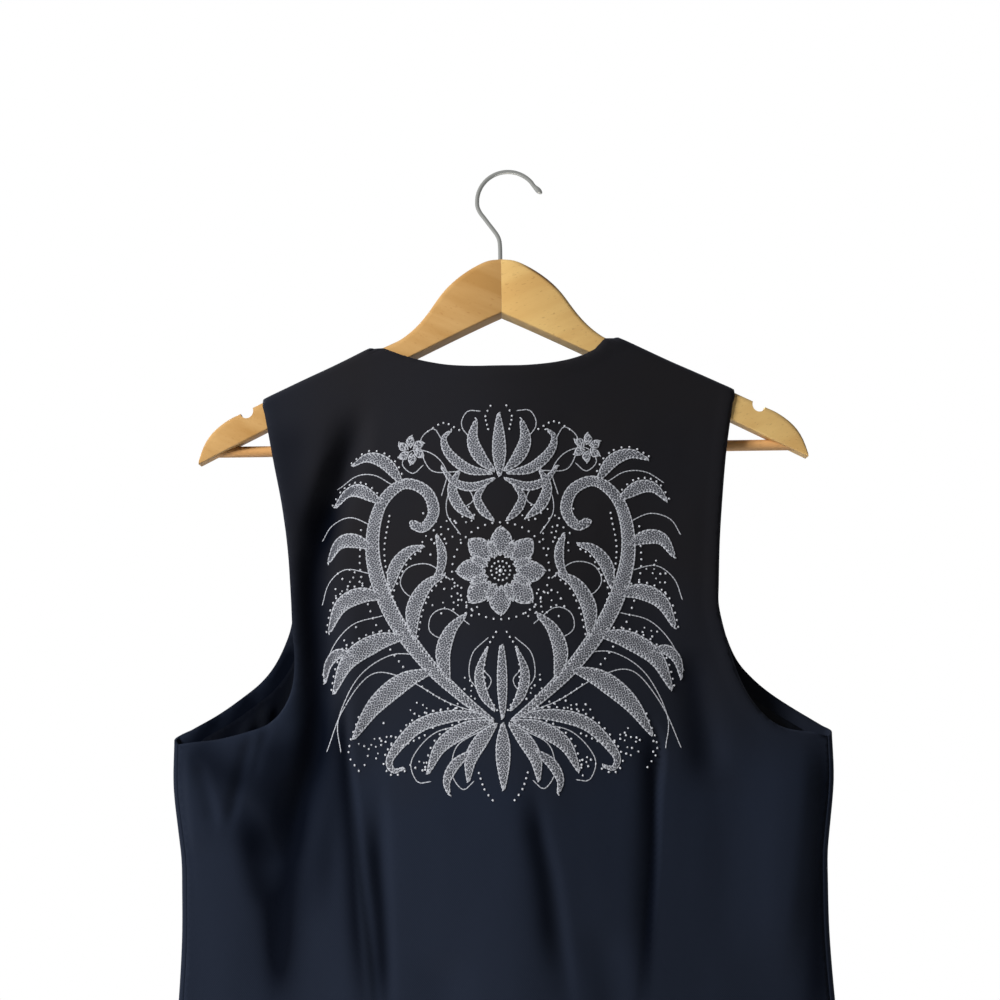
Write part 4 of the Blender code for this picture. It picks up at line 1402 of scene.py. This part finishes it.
def embroidery(pad_mat, thread_mat, bead_mat):
    rng = random.Random(11)
    ground, fill, lines, beads = Cover(), Cover(), Cover(), Cover()
    motifs = [(shape, side) for shape in BLADES for side in (1, -1)]
    motifs += [(shape, 1) for shape in MIDDLE_BLADES
               + flower_blades(FLOWER, 8, 12.0, 33.0, 7.4)
               + flower_blades(FLOWER, 8, 11.0, 24.0, 3.4, 22.5)]
    motifs += [(shape, side) for shape in flower_blades(SIDE_FLOWER, 6, 3.0, 11.0, 2.9)
               for side in (1, -1)]
    for number, ((route, half, profile), side) in enumerate(motifs):
        frames = blade_frame(route, half, profile, side)
        pad(ground, frames)
        fill_stitches(fill, frames, rng)
        rim_stitches(lines, frames)
        if profile is LEAF and half > 4.1 and number // 2 % 3 != 1:
            bead_border(beads, frames, float(side))
    for side in (1, -1):
        for route in TENDRILS:
            running_stitches(lines, route, side)
        for route, gap in BEAD_RUNS:
            for point in smooth_line(route, gap):
                v, z = laid(point)
                bead(beads, side * v, z, BEAD_R)
        for (v, z), (across, up), count in BEAD_CLOUDS:
            placed = []
            while len(placed) < count:
                spot = Vector((v + rng.gauss(0, across / 2), z + rng.gauss(0, up / 2)))
                if all((spot - other).length > BEAD_APART for other in placed):
                    placed.append(spot)
                    v_at, z_at = laid(spot)
                    bead(beads, side * v_at, z_at, BEAD_R * rng.uniform(0.75, 1.1))
    for ring, count in ((3.4, 7), (7.2, 14), (36.5, 40)):
        for i in range(count):
            angle = math.tau * i / count
            bead(beads, *laid((FLOWER[0] + ring * math.cos(angle),
                               FLOWER[1] + ring * math.sin(angle))), BEAD_R)
    bead(beads, *laid(FLOWER), 1.6)
    ground.build("thread_ground", pad_mat, wall=0.2)
    fill.build("thread_fill", thread_mat)
    lines.build("thread_lines", thread_mat)
    beads.build("silver_beads", bead_mat)


# The camera looks a little up at the vest, and leans by less than a degree
LENS = 57.2
CAMERA_AT = (-8.43, -1100.0, -373.69)
CAMERA_PITCH = math.atan(200.0 / 1589.0)
CAMERA_ROLL = math.radians(0.75)
LIGHTS_AIM = Vector((0.0, 0.0, -0.33))
# Name, place in metres, watts and width in metres
LIGHTS = [
    ("key_light", (-4.8, -3.9, 2.1), 760.0, 1.9),
    ("fill_light", (2.6, -2.6, 0.2), 7.0, 1.6),
    ("rear_light", (-1.6, 2.0, 0.8), 95.0, 1.2),
    ("rear_fill_light", (1.6, 2.0, 0.0), 22.0, 1.2)]


def studio():
    """Camera where the photographer stood, white sweep, and soft lights."""
    scene = bpy.context.scene
    data = bpy.data.cameras.new("camera")
    data.sensor_width = 36.0
    data.lens = LENS
    data.clip_end = 50.0
    camera = linked("camera", data)
    ahead = Vector((0.0, math.cos(CAMERA_PITCH), math.sin(CAMERA_PITCH)))
    up = Vector((0.0, -math.sin(CAMERA_PITCH), math.cos(CAMERA_PITCH)))
    right = Vector((1.0, 0.0, 0.0))
    turned_right = right * math.cos(CAMERA_ROLL) - up * math.sin(CAMERA_ROLL)
    turned_up = up * math.cos(CAMERA_ROLL) + right * math.sin(CAMERA_ROLL)
    camera.matrix_world = Matrix.Translation(Vector(CAMERA_AT) * MM) @ Matrix(
        (turned_right, turned_up, -ahead)).transposed().to_4x4()
    scene.camera = camera

    world = bpy.data.worlds.new("white_studio")
    scene.world = world
    world.use_nodes = True
    tree = world.node_tree
    # Paler on the photographer's left, where the window stands
    across = add(tree, "SeparateXYZ", {"Vector": (add(tree, "TexCoord", {}), "Generated")})
    level = add(tree, "MapRange", {"Value": across, "From Min": -1.0, "To Min": 0.13,
                                   "To Max": 0.04})
    # Wire and thread mirror the pale room that the camera's side looks into
    path = add(tree, "LightPath", {})
    shine = add(tree, "Math", {"operation": "MULTIPLY_ADD", 0: (path, "Is Glossy Ray"), 1: 4.6,
                               2: 1.0})
    strength = add(tree, "Math", {"operation": "MULTIPLY", 0: level, 1: shine})
    soft = tree.nodes["Background"]
    give(tree, soft, {"Color": "#ffffff", "Strength": strength})
    seen = add(tree, "Background", {"Color": "#ffffff", "Strength": 1.0})
    mix = add(tree, "MixShader", {"Fac": (path, "Is Camera Ray"), 1: soft, 2: seen})
    give(tree, tree.nodes["World Output"], {"Surface": mix})

    for name, place, power, size in LIGHTS:
        light = bpy.data.lights.new(name, "AREA")
        light.energy = power
        light.size = size
        obj = linked(name, light)
        obj.location = place
        obj.rotation_euler = (LIGHTS_AIM - obj.location).to_track_quat("-Z", "Y").to_euler()
        obj.visible_glossy = False

    deselect()
    bpy.ops.mesh.primitive_circle_add(vertices=96, radius=0.9, fill_type="NGON",
                                      location=(0.0, 0.0, -1.15))
    floor = bpy.context.active_object
    floor.name = "floor"
    floor.data.materials.append(pale_floor_material())
    scene.view_settings.view_transform = "Standard"


def main():
    studio()
    twill = twill_material("worsted_twill", "#1c1b1d", painted_crease_shade=True)
    front_twill = twill_material("worsted_twill_front", "#191b21", painted_crease_shade=False)
    satin = satin_material()
    arm_slope = math.atan(ARM_LOW_SLOPE)
    left_beech = beech_material("lacquered_beech_left", "#b38e5b", "#9f7743", -arm_slope)
    right_beech = beech_material("lacquered_beech_right", "#dab675", "#cba162", arm_slope)
    bar_beech = beech_material("lacquered_beech_bar", "#d6a56e", "#b98954", 0.0)
    nickel = nickel_material()
    silver = thread_material("silver_thread", "#c4c6cc", "#999ba2")
    under = thread_material("silver_thread_ground", "#5c5e65", "#3a3b41")
    pearl = thread_material("silver_bead_glass", "#e2e3e8", "#b4b6bd")
    dark_thread = thread_material("black_button_thread", "#24242a", "#121216")

    outline = back_outline()
    cloth("back", outline, place_back, [twill, satin], back_relief(outline), back_creases(),
          step=BACK_STEP, hollows=BACK_HOLLOWS)
    for sign, side in ((-1, "left"), (1, "right")):
        cloth("front_" + side, front_outline(sign, side), place_front(sign),
              [front_twill, twill], lambda points: relief(points, FRONT_FOLDS),
              front_creases(sign), flip=sign > 0, hollows=FRONT_HOLLOWS[side])
        outline = lining_outline(sign, side)
        cloth("lining_" + side, outline, place_front(sign, WALL + LINING_CLEAR), [satin],
              lining_relief(outline), wall=LINING_WALL, flip=sign > 0,
              step=LINING_STEP, hollows=FRONT_HOLLOWS[side])
    hanger_arm(-1, left_beech)
    hanger_arm(1, right_beech)
    hanger_bar(bar_beech)
    hook(nickel)
    buttons(resin_material())
    button_threads(dark_thread)
    embroidery(under, silver, pearl)


main()
